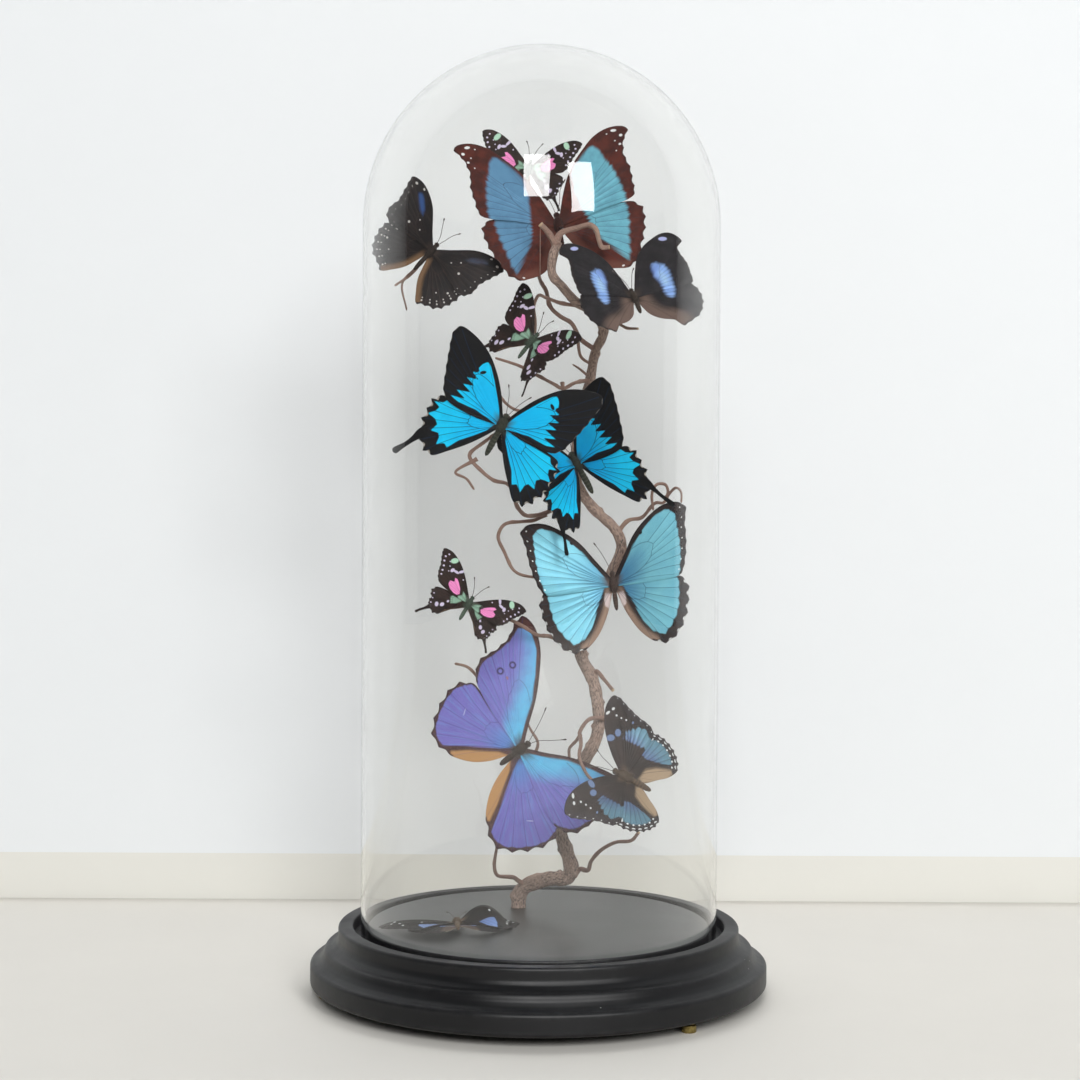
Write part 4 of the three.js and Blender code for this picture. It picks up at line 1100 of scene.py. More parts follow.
def wing_sheet(species, part):
    """One right wing as a closed thin shell over its plan, bowed and faintly ribbed along the veins."""
    x, y, share, cell, tooth, where, rim = wing_plan(species, part)
    reach = np.broadcast_to(share, x.shape)
    cells = np.broadcast_to(cell, x.shape)
    teeth = np.broadcast_to(tooth, x.shape)
    span = rim[:, 0].max()
    out = np.clip(x / span, 0, 1)
    bow = 1.3 * np.sin(math.pi * out) - 1.0 * out**3
    rib = 0.06 * np.cos(TURN * cells) * np.sin(math.pi * reach) ** 0.7
    wave = 0.35 * np.sin(0.9 * cells + 2 * reach + span) * reach**2
    ends = np.clip(np.minimum(where, where[-1] - where) / 3, 0, 1)[None, :]
    thick = HALF_THICKNESS * np.clip((1 - reach) * 9, 0, 1) * np.clip(reach * 9, 0, 1) * ends
    middle = bow + rib + wave

    pitch = np.gradient(where) / np.gradient(cell)
    margin_line = rim[(cell >= -0.3) & (cell <= CELLS + 0.01)]
    open_end = closed_cell(part, cell)
    k = np.clip(np.interp(open_end, share[:, 0], np.arange(WING_ROWS)), 0, WING_ROWS - 1.001)
    low = k.astype(int)
    column = np.arange(len(where))
    blend = k - low
    end_line = np.stack([
        x[low, column] * (1 - blend) + x[low + 1, column] * blend,
        y[low, column] * (1 - blend) + y[low + 1, column] * blend,
    ], 1)[(cell >= -1) & (cell <= 5.6)]
    discal = nearest(x, y, resampled(end_line, 0.4)) * np.where(reach > open_end, 1, -1)
    fields = {
        "flat_x": x,
        "flat_y": y,
        "cell": cells,
        "reach": reach,
        "tooth": teeth,
        "pitch": np.broadcast_to(pitch, x.shape),
        "vein": np.abs(cells - np.round(cells)) * pitch * np.maximum(reach, 0.1),
        "discal": discal,
        "outer": nearest(x, y, margin_line),
        "costa": nearest(x, y, rim[cell <= 0]),
        "inner": nearest(x, y, rim[cell >= CELLS]) if part == "hind" else np.full(x.shape, NO_INNER),
        "hind": np.full(x.shape, float(part == "hind")),
    }
    amount = species["teeth"][0 if part == "fore" else 1]
    for field in ("patch", "patch_too"):
        corners = species.get(field, {}).get(part)
        depth = polygon_depth(x, y, corners) if corners else np.full(x.shape, -FAR_OFF)
        fields[field] = depth - amount * teeth if field == "patch" else depth

    top = np.stack([x, y, middle + thick], -1)
    bottom = np.stack([x, y, middle - thick], -1)[-2::-1]
    points = np.concatenate([top, bottom]).reshape(-1, 3)
    faces = grid_faces(2 * WING_ROWS - 1, len(where))
    painted = {name: np.concatenate([v, v[-2::-1]]).ravel() for name, v in fields.items()}
    painted["under"] = np.repeat((np.arange(2 * WING_ROWS - 1) >= WING_ROWS).astype(float), len(where))
    return Skin(points, faces, painted)


def tail_strip(species):
    """A narrow flat tail: an oval carried along a route, as wide as the third number of each point."""
    strip = np.asarray(species["tail_strip"], float)
    route = smooth_route(strip)
    where = np.linspace(0, lengths_along(route[:, :2])[-1], TAIL_ROWS)
    plan = np.stack([np.interp(where, lengths_along(route[:, :2]), route[:, k]) for k in range(3)], 1)
    left = (where[-1] - where) / plan[-1, 2]
    width = plan[:, 2] * np.sqrt(np.clip(1 - (1 - np.clip(left, 0, 1)) ** 2, 0, 1))
    heading = directions(plan[:, :2])
    angle = (np.arange(TAIL_SIDES) * TURN / TAIL_SIDES)[None, :]
    x = plan[:, :1] - heading[:, 1:] * width[:, None] * np.cos(angle)
    y = plan[:, 1:2] + heading[:, :1] * width[:, None] * np.cos(angle)
    z = -0.2 + 0.14 * np.sin(angle) * np.clip(width, 0, 1)[:, None]
    points = with_ends(np.stack([x, y, z], -1))
    count = len(points) * TAIL_SIDES
    fields = {name: np.full(count, -FAR_OFF) for name in ("patch", "patch_too", "flat_x", "flat_y")}
    fields.update({name: np.full(count, FAR_OFF) for name in ("vein", "costa", "inner", "discal")})
    fields.update({"reach": np.full(count, 0.95), "outer": np.full(count, 0.5), "tooth": np.ones(count)})
    fields["cell"] = np.full(count, -1.5)
    return Skin(points.reshape(-1, 3), grid_faces(len(points), TAIL_SIDES, around=True), fields)


def with_ends(points):
    """Rings of points, closed by a ring at the middle of the first one and of the last one."""
    centre = points.mean(1, keepdims=True)
    sides = points.shape[1]
    return np.concatenate([np.repeat(centre[:1], sides, 1), points, np.repeat(centre[-1:], sides, 1)])


def turned(points, axis, degrees):
    """Points turned about one axis."""
    c, s = math.cos(math.radians(degrees)), math.sin(math.radians(degrees))
    matrix = {
        "X": [(1, 0, 0), (0, c, -s), (0, s, c)],
        "Y": [(c, 0, s), (0, 1, 0), (-s, 0, c)],
        "Z": [(c, -s, 0), (s, c, 0), (0, 0, 1)],
    }[axis]
    return points @ np.array(matrix, float).T


def body_shell(species):
    """Head, thorax and abdomen: circles about +Y on a smooth profile, with rings along the abdomen."""
    head, tail, thorax = species["head"], species["tail"], species["thorax"]
    profile = smooth_route([
        (tail, 0.05), (tail * 0.93, thorax * 0.36), (tail * 0.62, thorax * 0.62),
        (tail * 0.36, thorax * 0.58), (-4.4, thorax * 0.58), (-2.6, thorax * 0.84), (0.6, thorax * 1.0),
        (head * 0.42, thorax * 0.8), (head * 0.62, thorax * 0.5), (head * 0.72, thorax * 0.56),
        (head * 0.88, thorax * 0.5), (head, 0.1),
    ])
    where = np.linspace(0, lengths_along(profile)[-1], BODY_ROWS)
    y, radius = at_lengths(profile, where).T
    ring = np.where(y < -5, 0.5 + 0.5 * np.cos(TURN * y / (abs(tail) * 0.11)), 0)
    radius = np.clip(radius, 0.03, None) * (1 - 0.07 * ring)
    angle = (np.arange(BODY_SIDES) * TURN / BODY_SIDES)[None, :]
    sag = -0.012 * np.clip(-4 - y, 0, None) ** 1.7
    x = radius[:, None] * np.cos(angle) * 0.94
    z = radius[:, None] * np.sin(angle) + sag[:, None] + 0.25
    points = with_ends(np.stack([x, np.broadcast_to(y[:, None], x.shape), z], -1))
    rings = np.repeat(np.concatenate([[0], ring, [0]]), BODY_SIDES)
    faces = grid_faces(len(points), BODY_SIDES, around=True)
    return Skin(points.reshape(-1, 3), faces, {"ring": rings}, COAT)


def hair_coat(species, random):
    """Short hairs over the thorax, the head and the wing roots: thin three-sided spikes leaning back."""
    head, thorax, count = species["head"], species["thorax"], HAIRS
    y = random.uniform(-4.5, head * 0.8, count)
    angle = random.uniform(0, TURN, count)
    near = np.where(y > head * 0.45, 0.5, 0.92) * thorax
    outward = np.stack([np.cos(angle), np.zeros(count), np.sin(angle)], 1)
    root = outward * near[:, None] * 0.9 + np.stack([np.zeros(count), y, np.full(count, 0.2)], 1)
    lean = outward + np.array([0, -0.75, 0]) + random.normal(0, 0.28, (count, 3))
    lean = lean / np.linalg.norm(lean, axis=1, keepdims=True)
    length = random.uniform(0.12, 0.4, count)[:, None] * thorax
    across = np.cross(lean, [0.0, 1.0, 0.0])
    across = across / np.linalg.norm(across, axis=1, keepdims=True)
    over = np.cross(lean, across)
    wide = 0.022 * thorax
    corner = np.arange(3) * TURN / 3
    round_root = np.cos(corner)[:, None] * across[:, None] + np.sin(corner)[:, None] * over[:, None]
    ring = root[:, None] + wide * round_root
    tip = root + lean * length
    points = np.concatenate([ring, tip[:, None]], 1).reshape(-1, 3)
    start = (np.arange(count) * 4)[:, None]
    sides = np.array([(0, 1, 3, 3), (1, 2, 3, 3), (2, 0, 3, 3), (0, 2, 1, 1)])
    tips = np.tile([0.0, 0.0, 0.0, 1.0], count)
    return Skin(points, (start[:, :, None] + sides).reshape(-1, 4), {"hair_tip": tips}, COAT)


def feelers_and_legs(species, random, standing):
    """Two clubbed feelers and six thin bent legs, each a tapering tube on a smooth route."""
    skins = []
    head = species["head"]
    reach = 0.36 * max(x for x, _ in species["fore"])
    for side in (-1, 1):
        stray = random.uniform(-0.08, 0.08)
        route = smooth_route([
            (side * 0.5, head - 1.3, 0.6),
            (side * (0.5 + reach * 0.1), head + reach * 0.25, reach * 0.11),
            (side * (0.5 + reach * (0.24 + stray)), head + reach * 0.6, reach * 0.18),
            (side * (0.5 + reach * (0.42 + stray)), head + reach * 0.92, reach * 0.2),
        ])
        where = np.linspace(0, lengths_along(route)[-1], FEELER_ROWS)
        share = where / where[-1]
        club = 0.2 + 0.3 * np.clip((share - 0.82) / 0.12, 0, 1) ** 2
        club[-1] = 0.12
        skins.append(tube(at_lengths(route, where), club, FEELER_SIDES))
        for step, start in enumerate((2.6, 0.4, -1.8)):
            out = 1.6 + 0.5 * step
            down = -2.6 if standing else -1.9
            knee = 3.6 if standing else 2.6
            route = smooth_route([
                (side * 0.9, start, -1.2),
                (side * (out + 0.6), start + 1.0 - step * 0.7, down - 0.4),
                (side * (out + knee), start + 2.0 - step * 2.2, down + 0.2),
                (side * (out + knee * 0.7), start + 3.4 - step * 3.4, down - 2.0),
            ])
            where = np.linspace(0, lengths_along(route)[-1], LEG_ROWS)
            radius = 0.24 - 0.13 * where / where[-1]
            skins.append(tube(at_lengths(route, where), radius, LEG_SIDES))
    width = species["thorax"] * 0.3
    for side in (-1, 1):
        skins.append(ball((side * width * 1.1, head * 0.8, 0.4), (width, width * 1.15, width * 1.15)))
    for skin in skins:
        skin.fields = {}
        skin.paint[:] = HORN
    return skins


def nearest_limb(at):
    """The point of the branch's surface nearest to a thorax."""
    at = np.asarray(at)
    best, place = math.inf, None
    limbs = [(STEM, STEM_RADII[1][1], STEM_RADII[-1][1])]
    for twig in TWIGS.values():
        limbs.extend(twig)
    for points, start, tip in limbs:
        route = smooth_route(points)
        travelled = lengths_along(route)
        radius = np.interp(travelled, [0, travelled[-1]], [start, tip])
        away = np.linalg.norm(route - at, axis=1) - radius
        k = int(np.argmin(away))
        if away[k] < best:
            best, place = away[k], route[k]
    toward = (place - at) / np.linalg.norm(place - at)
    return at + toward * best


def butterfly(name, pose, random):
    """A whole specimen in the dome's own place: four wings, body, hair, feelers, legs and its pin."""
    species = SPECIES[pose.get("kind", name)]
    skins = []
    for side in (-1, 1):
        which = 0 if side < 0 else 1
        for part in ("fore", "hind"):
            pieces = [wing_sheet(species, part)]
            if part == "hind" and "tail_strip" in species and pose.get("lost_tail") != side:
                pieces.append(tail_strip(species))
            scale = pose.get(part + "_size", (1, 1))[which]
            for skin in pieces:
                points = skin.points * [scale, scale, 1]
                if part == "fore":
                    points = turned(points, "Z", pose["sweep"][which])
                else:
                    points = turned(points, "Z", pose.get("hind_sweep", (0, 0))[which]) - [0, 0, HIND_DROP]
                arch = pose.get("arch", (0, 0))[which]
                rise = arch * np.sin(math.pi * np.clip(points[:, 0] / ARCH_WIDTH, 0, 1))
                rise = rise * np.clip((points[:, 1] - ARCH_FOOT) / ARCH_DEPTH, 0, 1)
                points = points + rise[:, None] * [0, 0, 1]
                points = turned(points, "Y", -pose["lift"][which])
                skin.points = points * [side, 1, 1]
                skin.fields["left"] = np.full(len(points), float(side < 0))
                if side < 0:
                    skin.turned_over()
                skins.append(skin)
    skins.append(body_shell(species))
    skins.append(hair_coat(species, random))
    standing = name == "floor_charaxes"
    skins.extend(feelers_and_legs(species, random, standing))
    whole = joined(skins)
    x_turn, y_turn, z_turn = pose["turn"]
    points = turned(turned(turned(whole.points, "Z", z_turn), "Y", y_turn), "X", 90 + x_turn)
    whole.points = points * pose["size"] + np.asarray(pose["at"], float)
    if standing:
        return whole
    pin_route = np.linspace(np.asarray(pose["at"], float), nearest_limb(pose["at"]), PIN_ROWS)
    pin = tube(pin_route, np.full(PIN_ROWS, PIN_RADIUS), PIN_SIDES)
    pin.fields = {}
    pin.paint[:] = PIN
    return joined([whole, pin])


# ---- Colours of each species ----
def as_input(value):
    """A plain number as it is, a setting's colour as it is, and three screen values as linear light."""
    if isinstance(value, (int, float)):
        return value
    return paint(*value) if len(value) == 3 else tuple(value)


def wing_looks(settings):
    """Colours, as screen values, and widths in millimetres of every species' wings."""
    plain = {
        "ground": (52, 36, 31), "ground_too": (38, 27, 24), "tan": (120, 95, 75), "tan_width": 0.5,
        "patch_near": (90, 150, 190), "patch_far": (90, 150, 190), "patch_streak": (90, 150, 190),
        "patch_left_sheen": (90, 150, 190), "left_sheen_share": 0.0, "costa_sheen_share": 0.0, "patch_shade": (60, 90, 120),
        "near": 0.3, "far": 0.8, "streak": 0.5, "soft": 0.9, "soft_too": 1.2, "patch_too": (120, 95, 75),
        "patch_too_share": 1.0, "vein": (24, 18, 16), "vein_width": 0.34, "vein_share": 0.55,
        "rim": (36, 26, 24), "rim_width": 0.8, "rim_soft": 0.8, "costa_width": 0.4, "ragged": 0.35,
        "dots": (225, 228, 228), "dots_too": (190, 175, 205), "mark": (20, 18, 18),
        "fringe": (190, 185, 180), "fringe_share": 0.2, "fuzz": (62, 52, 44), "gloss": 0.22,
        "metal": 0.15, "below": (92, 70, 56), "below_too": (120, 96, 78),
    }
    changes = {
        "banded_morpho": {
            "ground": (84, 36, 26), "ground_too": (58, 25, 18), "rim": (62, 29, 23),
            "rim_width": 1.0, "patch_near": settings.band_teal, "patch_far": settings.band_teal,
            "patch_left_sheen": settings.band_left_sheen, "left_sheen_share": 0.9, "patch_streak": (120, 190, 205),
            "streak": 0.45, "vein": (46, 44, 54), "fuzz": (60, 32, 26), "tan": (98, 58, 48),
            "tan_width": 8.0, "soft": 3.0, "ragged": 1.0,
        },
        "swordtail": {
            "ground": (42, 28, 23), "ground_too": (26, 18, 15), "patch_near": settings.swordtail_pink,
            "patch_far": settings.swordtail_pink, "patch_streak": (245, 180, 215), "streak": 0.4,
            "patch_shade": (210, 110, 170), "patch_too": (150, 188, 165), "patch_too_share": 0.85,
            "dots": (176, 214, 190), "dots_too": (206, 196, 220), "soft": 0.45, "vein_share": 0.35,
            "fuzz": (84, 98, 84), "gloss": 0.1, "metal": 0.0, "ragged": 0.15,
        },
        "brown_nymph": {
            "ground": (23, 16, 15), "ground_too": (13, 9, 9), "patch_near": (44, 38, 46),
            "patch_far": (44, 38, 46), "patch_streak": (60, 60, 84),
            "patch_left_sheen": settings.nymph_left_sheen, "left_sheen_share": 1.0, "soft": 2.6, "tan": (112, 86, 62),
            "tan_width": 5.0, "rim": (28, 21, 20), "vein_share": 0.4, "vein": (66, 54, 47),
            "dots": (190, 186, 182), "fuzz": (52, 42, 36), "ragged": 0.4,
        },
        "hook_tip": {
            "ground": (36, 33, 35), "ground_too": (23, 20, 22), "patch_near": (96, 118, 190),
            "patch_far": settings.hook_tip_blue, "patch_streak": (160, 190, 235),
            "patch_shade": (70, 84, 150), "soft": 3.4, "near": 0.25, "far": 0.6, "soft_too": 4.5,
            "patch_too": (170, 205, 232), "patch_too_share": 0.8, "tan": (104, 86, 78), "tan_width": 12.0,
            "rim": (36, 28, 28), "dots": (172, 178, 222), "vein_share": 0.4, "ragged": 0.9,
        },
        "ulysses": {
            "ground": (11, 10, 11), "ground_too": (6, 5, 6), "patch_near": settings.ulysses_blue,
            "patch_far": (18, 206, 252), "patch_streak": (44, 214, 254), "streak": 0.25,
            "patch_shade": (10, 152, 214), "rim": (7, 6, 7), "vein": (8, 34, 62),
            "vein_share": 0.85, "costa_width": 1.4, "soft": 0.55, "ragged": 0.15, "fuzz": (66, 68, 58),
            "fringe_share": 0.3, "dots": (172, 164, 154), "gloss": 0.25, "metal": 0.05,
        },
        "sky_morpho": {
            "ground": (44, 32, 30), "ground_too": (30, 21, 20), "patch_near": (66, 118, 156),
            "patch_far": settings.sky_blue, "patch_streak": (130, 202, 214), "near": 0.12, "far": 0.6,
            "streak": 0.3, "patch_left_sheen": (84, 140, 156), "left_sheen_share": 0.6,
            "patch_shade": (84, 150, 182), "patch_too": (206, 190, 188), "tan": (150, 126, 110),
            "tan_width": 6.0, "rim": (32, 23, 23), "vein": (36, 58, 72), "vein_share": 0.6,
            "costa_width": 1.1, "soft": 1.1, "fuzz": (88, 74, 68), "ragged": 0.45,
        },
        "violet_morpho": {
            "ground": (92, 62, 58), "ground_too": (70, 46, 46), "patch_near": settings.violet_near,
            "patch_far": settings.violet_far, "patch_streak": (104, 208, 250), "near": 0.1, "far": 0.5,
            "costa_sheen_share": 0.9, "streak": 0.34, "patch_shade": (104, 100, 180), "patch_too": (192, 146, 96),
            "rim": (66, 44, 46), "rim_width": 0.5, "rim_soft": 1.4, "vein": (56, 58, 124),
            "vein_share": 0.45, "costa_width": 0.9, "soft": 1.2, "soft_too": 2.2, "fuzz": (64, 50, 40),
            "dots": (176, 180, 225), "dots_too": (150, 110, 130), "mark": (66, 56, 110),
            "metal": 0.12, "gloss": 0.3,
        },
        "charaxes": {
            "ground": (46, 35, 33), "ground_too": (29, 22, 21), "patch_near": (70, 84, 122),
            "patch_far": settings.charaxes_blue, "patch_streak": (112, 152, 164), "near": 0.5, "far": 0.8,
            "patch_shade": (90, 120, 150), "patch_too": (168, 146, 120), "soft_too": 3.0,
            "patch_too_share": 0.9, "rim": (42, 35, 37), "rim_width": 3.4, "rim_soft": 1.2,
            "dots": (206, 210, 210), "dots_too": (104, 124, 160), "vein_share": 0.5,
            "fuzz": (98, 82, 68), "ragged": 0.45,
        },
    }
    changes["floor_charaxes"] = {
        **changes["charaxes"], "patch_near": (112, 134, 190), "patch_far": (120, 148, 205),
        "patch_too": (86, 70, 58), "tan": (214, 204, 176), "tan_width": 1.2, "fuzz": (112, 94, 76),
        "ground": (26, 20, 18), "ground_too": (12, 9, 9), "rim": (16, 12, 12),
    }
    looks = {name: {**plain, **change} for name, change in changes.items()}
    return {name: {key: as_input(value) for key, value in look.items()} for name, look in looks.items()}


# ---- Settings ----
def colour_setting(name, description, value):
    return bpy.props.FloatVectorProperty(
        name=name, description=description, default=paint(*value), size=4, min=0, max=1, subtype="COLOR"
    )


def length_setting(name, description, value):
    return bpy.props.FloatProperty(name=name, description=description, default=value, unit="LENGTH")


def power_setting(name, description, value):
    return bpy.props.FloatProperty(name=name, description=description, default=value, unit="POWER")


class DomeSettings(bpy.types.PropertyGroup):
    """Sizes and colours of the base and the glass."""

    outer_radius: length_setting("Glass radius", "Outer radius of the glass", 0.1171)
    wall: length_setting("Glass thickness", "Thickness of the glass", 0.0025)
    foot: length_setting("Glass foot", "Height of the glass's lower edge", 0.0368)
    spring: length_setting("Round top", "Height where the round top starts", 0.5025)
    segments: bpy.props.IntProperty(
        name="Segments", description="Faces round the base and the glass", default=160, min=32
    )
    tint: colour_setting("Glass tint", "Colour of the glass", (252, 252, 251))


class BranchSettings(bpy.types.PropertyGroup):
    """Sizes and colours of the branch."""

    stem_sides: bpy.props.IntProperty(
        name="Stem faces", description="Faces round the stem", default=28, min=8
    )
    twig_sides: bpy.props.IntProperty(name="Twig faces", description="Faces round a twig", default=16, min=6)
    # The creases' colour holds painted shade as well as the bark's own colour.
    bark_hollows_and_shade: colour_setting("Bark hollows", "Colour of the bark's creases", (92, 73, 64))
    bark_light: colour_setting("Bark", "Colour of the bark's ridges", (176, 152, 138))
    twig_bark: colour_setting("Twig bark", "Colour that the bark of the twigs leans to", (134, 100, 86))


class ButterflySettings(bpy.types.PropertyGroup):
    """Colours of the lit patches on the wings, and the painted sheen of some left wings."""

    # Painted sheen: the banded butterfly's left band, a sheen of the same band as the right.
    band_left_sheen: colour_setting("Band, left", "Left band of the banded butterfly", (92, 134, 170))
    band_teal: colour_setting("Band, right", "Right band of the banded butterfly", (110, 176, 194))
    swordtail_pink: colour_setting("Pink patch", "Pink patch of the swordtails", (240, 140, 200))
    # Painted sheen: shown on the nymph's left forewing only.
    nymph_left_sheen: colour_setting("Nymph sheen", "Blue sheen of the dark butterfly", (48, 76, 128))
    hook_tip_blue: colour_setting("Hook-tip patch", "Pale patch of the hook-tip's wings", (140, 176, 232))
    ulysses_blue: colour_setting("Swallowtail blue", "Blue of the two big swallowtails", (10, 186, 244))
    sky_blue: colour_setting("Sky blue", "Pale blue of the sky-blue butterfly", (118, 184, 200))
    violet_near: colour_setting("Violet, near body", "Blue of the violet wings by the body", (96, 146, 218))
    violet_far: colour_setting("Violet, outside", "Violet towards the margins", (128, 120, 204))
    charaxes_blue: colour_setting("Charaxes band", "Light blue band of the banded brown pair", (86, 122, 138))


class StageSettings(bpy.types.PropertyGroup):
    """Camera, light and floor."""

    distance: length_setting("Distance", "Camera in front of the dome", 1.33)
    height: length_setting("Height", "Height of the camera", 0.325)
    lens: bpy.props.FloatProperty(
        name="Lens", description="Focal length", default=LENS, subtype="DISTANCE_CAMERA"
    )
    floor_end: length_setting("Floor depth", "Where the floor meets the wall", 0.299)
    room_light: bpy.props.FloatProperty(name="Room light", description="Light from all round", default=0.12)
    window_power: power_setting("Window light", "Power of each of the two windows", 50)
    pane_power: power_setting("Window glare", "Power that only mirrors in the glass and the paint", 30)
    ceiling_power: power_setting("Ceiling light", "Power of the wide light above", 6)
    back_power: power_setting("Back light", "Power of the light above and behind", 19)
    wall_colour: colour_setting("Wall", "Colour of the wall", (238, 241, 243))
    floor_colour: colour_setting("Floor", "Colour of the floor", (224, 221, 214))
    skirting_height: length_setting("Skirting", "Height of the board along the wall", 0.037)
    skirting_colour: colour_setting("Skirting", "Colour of the board along the wall", (232, 231, 224))


# ---- Operators ----
class MESH_OT_turned_base(bpy.types.Operator):
    """Make the turned black base and its brass feet"""

    bl_idname = "mesh.turned_base"
    bl_label = "Turned base"

    def execute(self, context):
        settings = context.scene.dome_settings
        profile = eased(resampled(BASE_PROFILE, BASE_STEP), 1)
        skin = lathe(profile, settings.segments)
        # The outward corners of the profile get a painted highlight.
        skin.fields["worn"] = np.repeat(corner_highlight(profile), settings.segments)
        x, y, z = skin.points.T
        inside = (z > DISC_TOP) & (np.hypot(x, y) < DISC_RADIUS)
        skin.paint = inside[skin.faces].all(1).astype(int)
        add_piece("turned_base", skin, [black_paint(), floor_disc_paint()], ("base",))
        brass = aged_brass()
        for name in ("foot_1", "foot_2", "foot_3"):
            low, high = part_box(name)
            centre = [(low[k] + high[k]) / 2 / MM for k in range(2)]
            radius = (high[0] - low[0]) / 2 / MM
            top = high[2] / MM
            neck = radius * FOOT_NECK
            profile = [
                (0, 0), (radius - 0.4, 0), (radius, 0.5), (radius, top - 2.2), (neck, top - 1.8), (neck, top),
                (0, top),
            ]
            foot = lathe(eased(resampled(profile, FOOT_STEP), 2), FOOT_SIDES)
            foot.points[:, :2] += centre
            add_piece("turned_" + name, foot, [brass], (name,))
        return {"FINISHED"}


class MESH_OT_glass_dome(bpy.types.Operator):
    """Make the glass dome"""

    bl_idname = "mesh.glass_dome"
    bl_label = "Glass dome"

    def execute(self, context):
        settings = context.scene.dome_settings
        profile = dome_profile(
            settings.outer_radius / MM, settings.wall / MM, settings.foot / MM, settings.spring / MM
        )
        skin = lathe(profile, settings.segments)
        glass = add_piece("blown_dome", skin, [clear_glass(settings)], ("glass_dome",))
        # Clear glass neither darkens what stands in it nor throws light about.
        glass.visible_shadow = False
        glass.visible_diffuse = False
        return {"FINISHED"}


class MESH_OT_twisted_branch(bpy.types.Operator):
    """Make the stem and its twigs"""

    bl_idname = "mesh.twisted_branch"
    bl_label = "Twisted branch"

    def execute(self, context):
        settings = context.scene.branch_settings
        random = np.random.default_rng(SEED)
        skin = bark(settings)
        stem = grown_stem(settings.stem_sides, random)
        stem.points[:, 2] = np.maximum(stem.points[:, 2], STEM_REST)
        add_piece("grown_stem", stem, [skin], STEM_NODES)
        for name, limbs in TWIGS.items():
            grown = [
                grown_limb(points, start, tip, settings.twig_sides, random, name in CUT_TWIGS)
                for points, start, tip in limbs
            ]
            add_piece("grown_" + name, joined(grown), [skin], (name,))
        return {"FINISHED"}


class MESH_OT_butterflies(bpy.types.Operator):
    """Make the twelve mounted butterflies"""

    bl_idname = "mesh.mounted_butterflies"
    bl_label = "Butterflies"

    def execute(self, context):
        looks = wing_looks(context.scene.butterfly_settings)
        wings = {kind: wing_scales(kind + "_wings", look, SPECIES[kind]) for kind, look in looks.items()}
        coats = {kind: fur(kind + "_fur", look["fuzz"]) for kind, look in looks.items()}
        horn = dark_horn()
        pin = steel()
        random = np.random.default_rng(SEED)
        for name, pose in SPECIMENS.items():
            kind = pose.get("kind", name)
            add_piece(
                "specimen_" + name,
                butterfly(name, pose, random),
                [wings[kind], coats[kind], horn, pin],
                ("butterfly_" + name,),
            )
        return {"FINISHED"}


# Position and size of the two windows, in metres.
WINDOWS = {
    "left": ((-0.18, -3.0, 1.85), (0.88, 1.5)),
    "right": ((1.36, -2.9, 1.69), (0.85, 1.43)),
}
DOME_TOP = (0, -0.1, 0.53)
# Place, target and size of the two lights that brighten the piece and don't mirror in it.
CEILING = ((0, -0.2, 3.2), (0, -0.1, 0), (5.0, 4.0))
BACK = ((0.15, 0.95, 2.3), (0, 0, 0), (1.4, 0.9))
ROOM_COLOUR = (0.93, 0.96, 1.0, 1)
SHEET = 4  # half width of the floor and the wall, and the wall's height
BOARD_THICKNESS = 0.004
CAMERA_SIDE = -0.00035
CAMERA_TILT = math.radians(1.2)  # the camera looks this much down
CAMERA_ROLL = -0.0048


def flat_sheet(name, corners, material):
    """One big flat face of the stage."""
    mesh = bpy.data.meshes.new(name)
    mesh.from_pydata(corners, [], [(0, 1, 2, 3)])
    mesh.materials.append(material)
    sheet = bpy.data.objects.new(name, mesh)
    bpy.context.scene.collection.objects.link(sheet)
    return sheet


def upright_sheet(name, y, top, material):
    """A sheet that stands on the floor at the given depth and faces the camera."""
    return flat_sheet(name, [(-SHEET, y, 0), (SHEET, y, 0), (SHEET, y, top), (-SHEET, y, top)], material)


def matt(name, colour, scale, spread):
    """Plain matt paint with a faint unevenness."""
    make = Recipe(name)
    cloud = make.noise(make.place(), scale, 4.0)
    shade = tuple(c * (1 - spread) for c in colour[:3]) + (1.0,)
    return make.finish(Base_Color=make.mix(cloud, colour, shade), Roughness=0.8)


def clear_from_behind(material):
    """Let a wall paint show on its front only, so that the piece can be looked at from the back."""
    tree = material.node_tree
    paint_end = tree.nodes["Principled BSDF"].outputs["BSDF"]
    side = tree.nodes.new("ShaderNodeNewGeometry")
    clear = tree.nodes.new("ShaderNodeBsdfTransparent")
    choice = tree.nodes.new("ShaderNodeMixShader")
    tree.links.new(side.outputs["Backfacing"], choice.inputs[0])
    tree.links.new(paint_end, choice.inputs[1])
    tree.links.new(clear.outputs[0], choice.inputs[2])
    tree.links.new(choice.outputs[0], tree.nodes["Material Output"].inputs["Surface"])
    return material


def window_light(name, place, target, size, power):
    """A rectangular soft light that faces its target."""
    data = bpy.data.lights.new(name, "AREA")
    data.shape = "RECTANGLE"
    data.size, data.size_y = size
    data.energy = power
    light = bpy.data.objects.new(name, data)
    light.location = place
    light.rotation_euler = (Vector(target) - Vector(place)).to_track_quat("-Z", "Y").to_euler()
    bpy.context.scene.collection.objects.link(light)
    return light


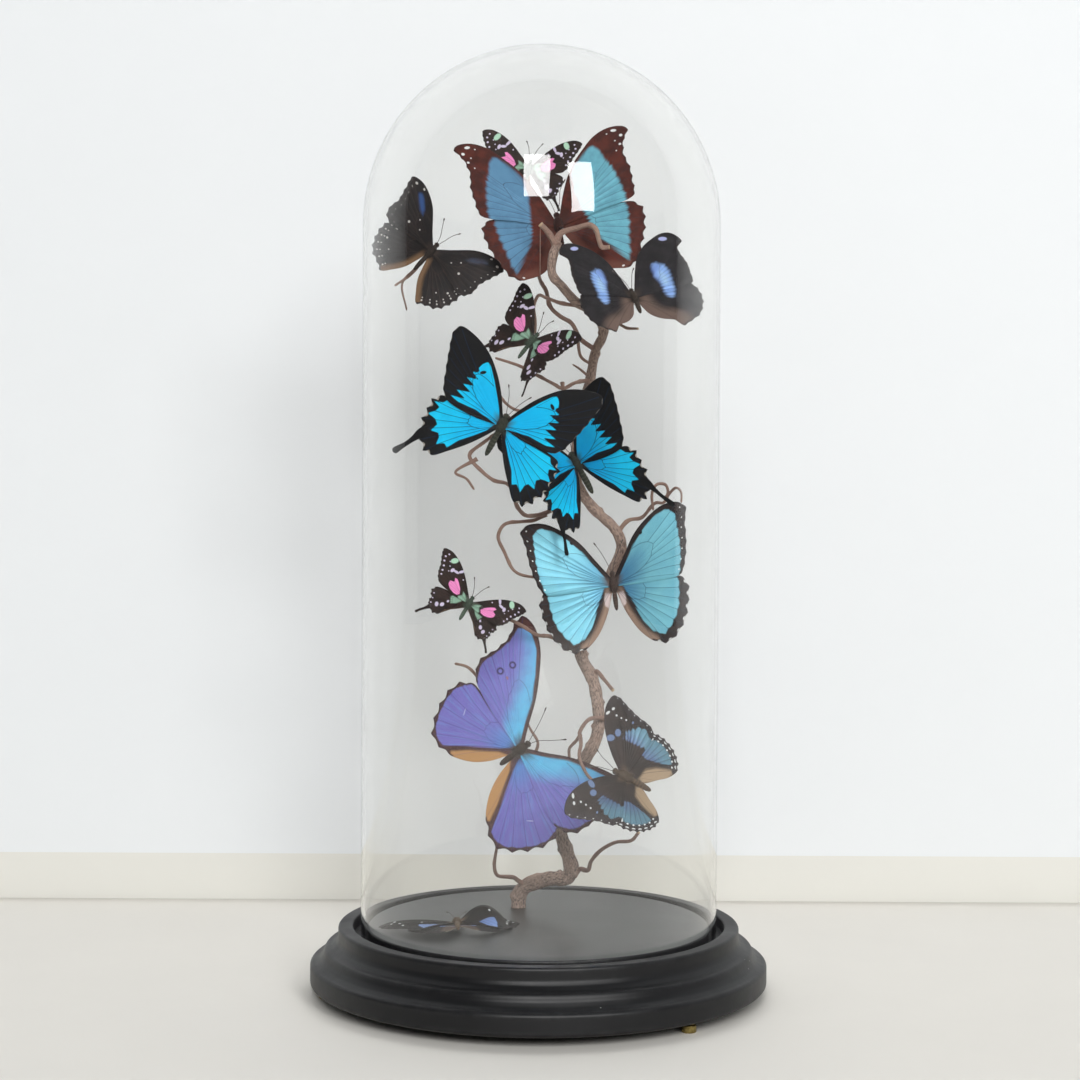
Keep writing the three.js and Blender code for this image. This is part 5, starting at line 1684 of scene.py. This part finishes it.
class SCENE_OT_stage(bpy.types.Operator):
    """Make the camera, the lights, the floor and the wall"""

    bl_idname = "scene.butterfly_stage"
    bl_label = "Stage"

    def execute(self, context):
        settings = context.scene.stage_settings
        data = bpy.data.cameras.new("camera")
        data.lens = settings.lens
        data.sensor_width = SENSOR_WIDTH
        camera = bpy.data.objects.new("camera", data)
        camera.location = (CAMERA_SIDE, -settings.distance, settings.height)
        camera.rotation_euler = (math.pi / 2 - CAMERA_TILT, CAMERA_ROLL, 0)
        context.scene.collection.objects.link(camera)
        context.scene.camera = camera

        floor = matt("floor_paint", tuple(settings.floor_colour), 9.0, 0.05)
        wall = clear_from_behind(matt("wall_paint", tuple(settings.wall_colour), 6.0, 0.025))
        board = clear_from_behind(matt("skirting_paint", tuple(settings.skirting_colour), 9.0, 0.04))
        corners = [(-SHEET, -SHEET, 0), (SHEET, -SHEET, 0), (SHEET, SHEET, 0), (-SHEET, SHEET, 0)]
        flat_sheet("floor", corners, floor)
        back = upright_sheet("wall", settings.floor_end, SHEET, wall)
        back.visible_shadow = False
        upright_sheet("skirting", settings.floor_end - BOARD_THICKNESS, settings.skirting_height, board)

        world = bpy.data.worlds.new("soft_room")
        world.use_nodes = True
        sky = world.node_tree.nodes["Background"]
        sky.inputs["Color"].default_value = ROOM_COLOUR
        sky.inputs["Strength"].default_value = settings.room_light
        context.scene.world = world
        context.scene.view_settings.view_transform = "Standard"
        for name, (place, size) in WINDOWS.items():
            window_light(name + "_window", place, DOME_TOP, size, settings.window_power)
            pane = window_light(name + "_pane", place, DOME_TOP, size, settings.pane_power)
            pane.visible_diffuse = False
        above = window_light("ceiling", *CEILING, settings.ceiling_power)
        above.visible_glossy = False
        behind = window_light("back_light", *BACK, settings.back_power)
        behind.visible_glossy = False
        return {"FINISHED"}


class VIEW3D_PT_butterfly_dome(bpy.types.Panel):
    """Lists the pieces that can be made"""

    bl_label = "Butterfly Dome"
    bl_idname = "VIEW3D_PT_butterfly_dome"
    bl_space_type = "VIEW_3D"
    bl_region_type = "UI"
    bl_category = "Butterfly Dome"

    def draw(self, context):
        column = self.layout.column()
        for operator in OPERATORS:
            column.operator(operator.bl_idname)
        for group in SETTINGS:
            for name in SETTINGS[group].__annotations__:
                column.prop(getattr(context.scene, group), name)


OPERATORS = (
    MESH_OT_turned_base,
    MESH_OT_glass_dome,
    MESH_OT_twisted_branch,
    MESH_OT_butterflies,
    SCENE_OT_stage,
)
SETTINGS = {
    "dome_settings": DomeSettings,
    "branch_settings": BranchSettings,
    "butterfly_settings": ButterflySettings,
    "stage_settings": StageSettings,
}


def register():
    for group in SETTINGS.values():
        bpy.utils.register_class(group)
    for name, group in SETTINGS.items():
        setattr(bpy.types.Scene, name, bpy.props.PointerProperty(type=group))
    for operator in OPERATORS:
        bpy.utils.register_class(operator)
    bpy.utils.register_class(VIEW3D_PT_butterfly_dome)


def unregister():
    bpy.utils.unregister_class(VIEW3D_PT_butterfly_dome)
    for operator in reversed(OPERATORS):
        bpy.utils.unregister_class(operator)
    for name, group in SETTINGS.items():
        delattr(bpy.types.Scene, name)
        bpy.utils.unregister_class(group)


def main():
    register()
    bpy.ops.mesh.turned_base()
    bpy.ops.mesh.glass_dome()
    bpy.ops.mesh.twisted_branch()
    bpy.ops.mesh.mounted_butterflies()
    bpy.ops.scene.butterfly_stage()


if __name__ == "__main__":
    main()
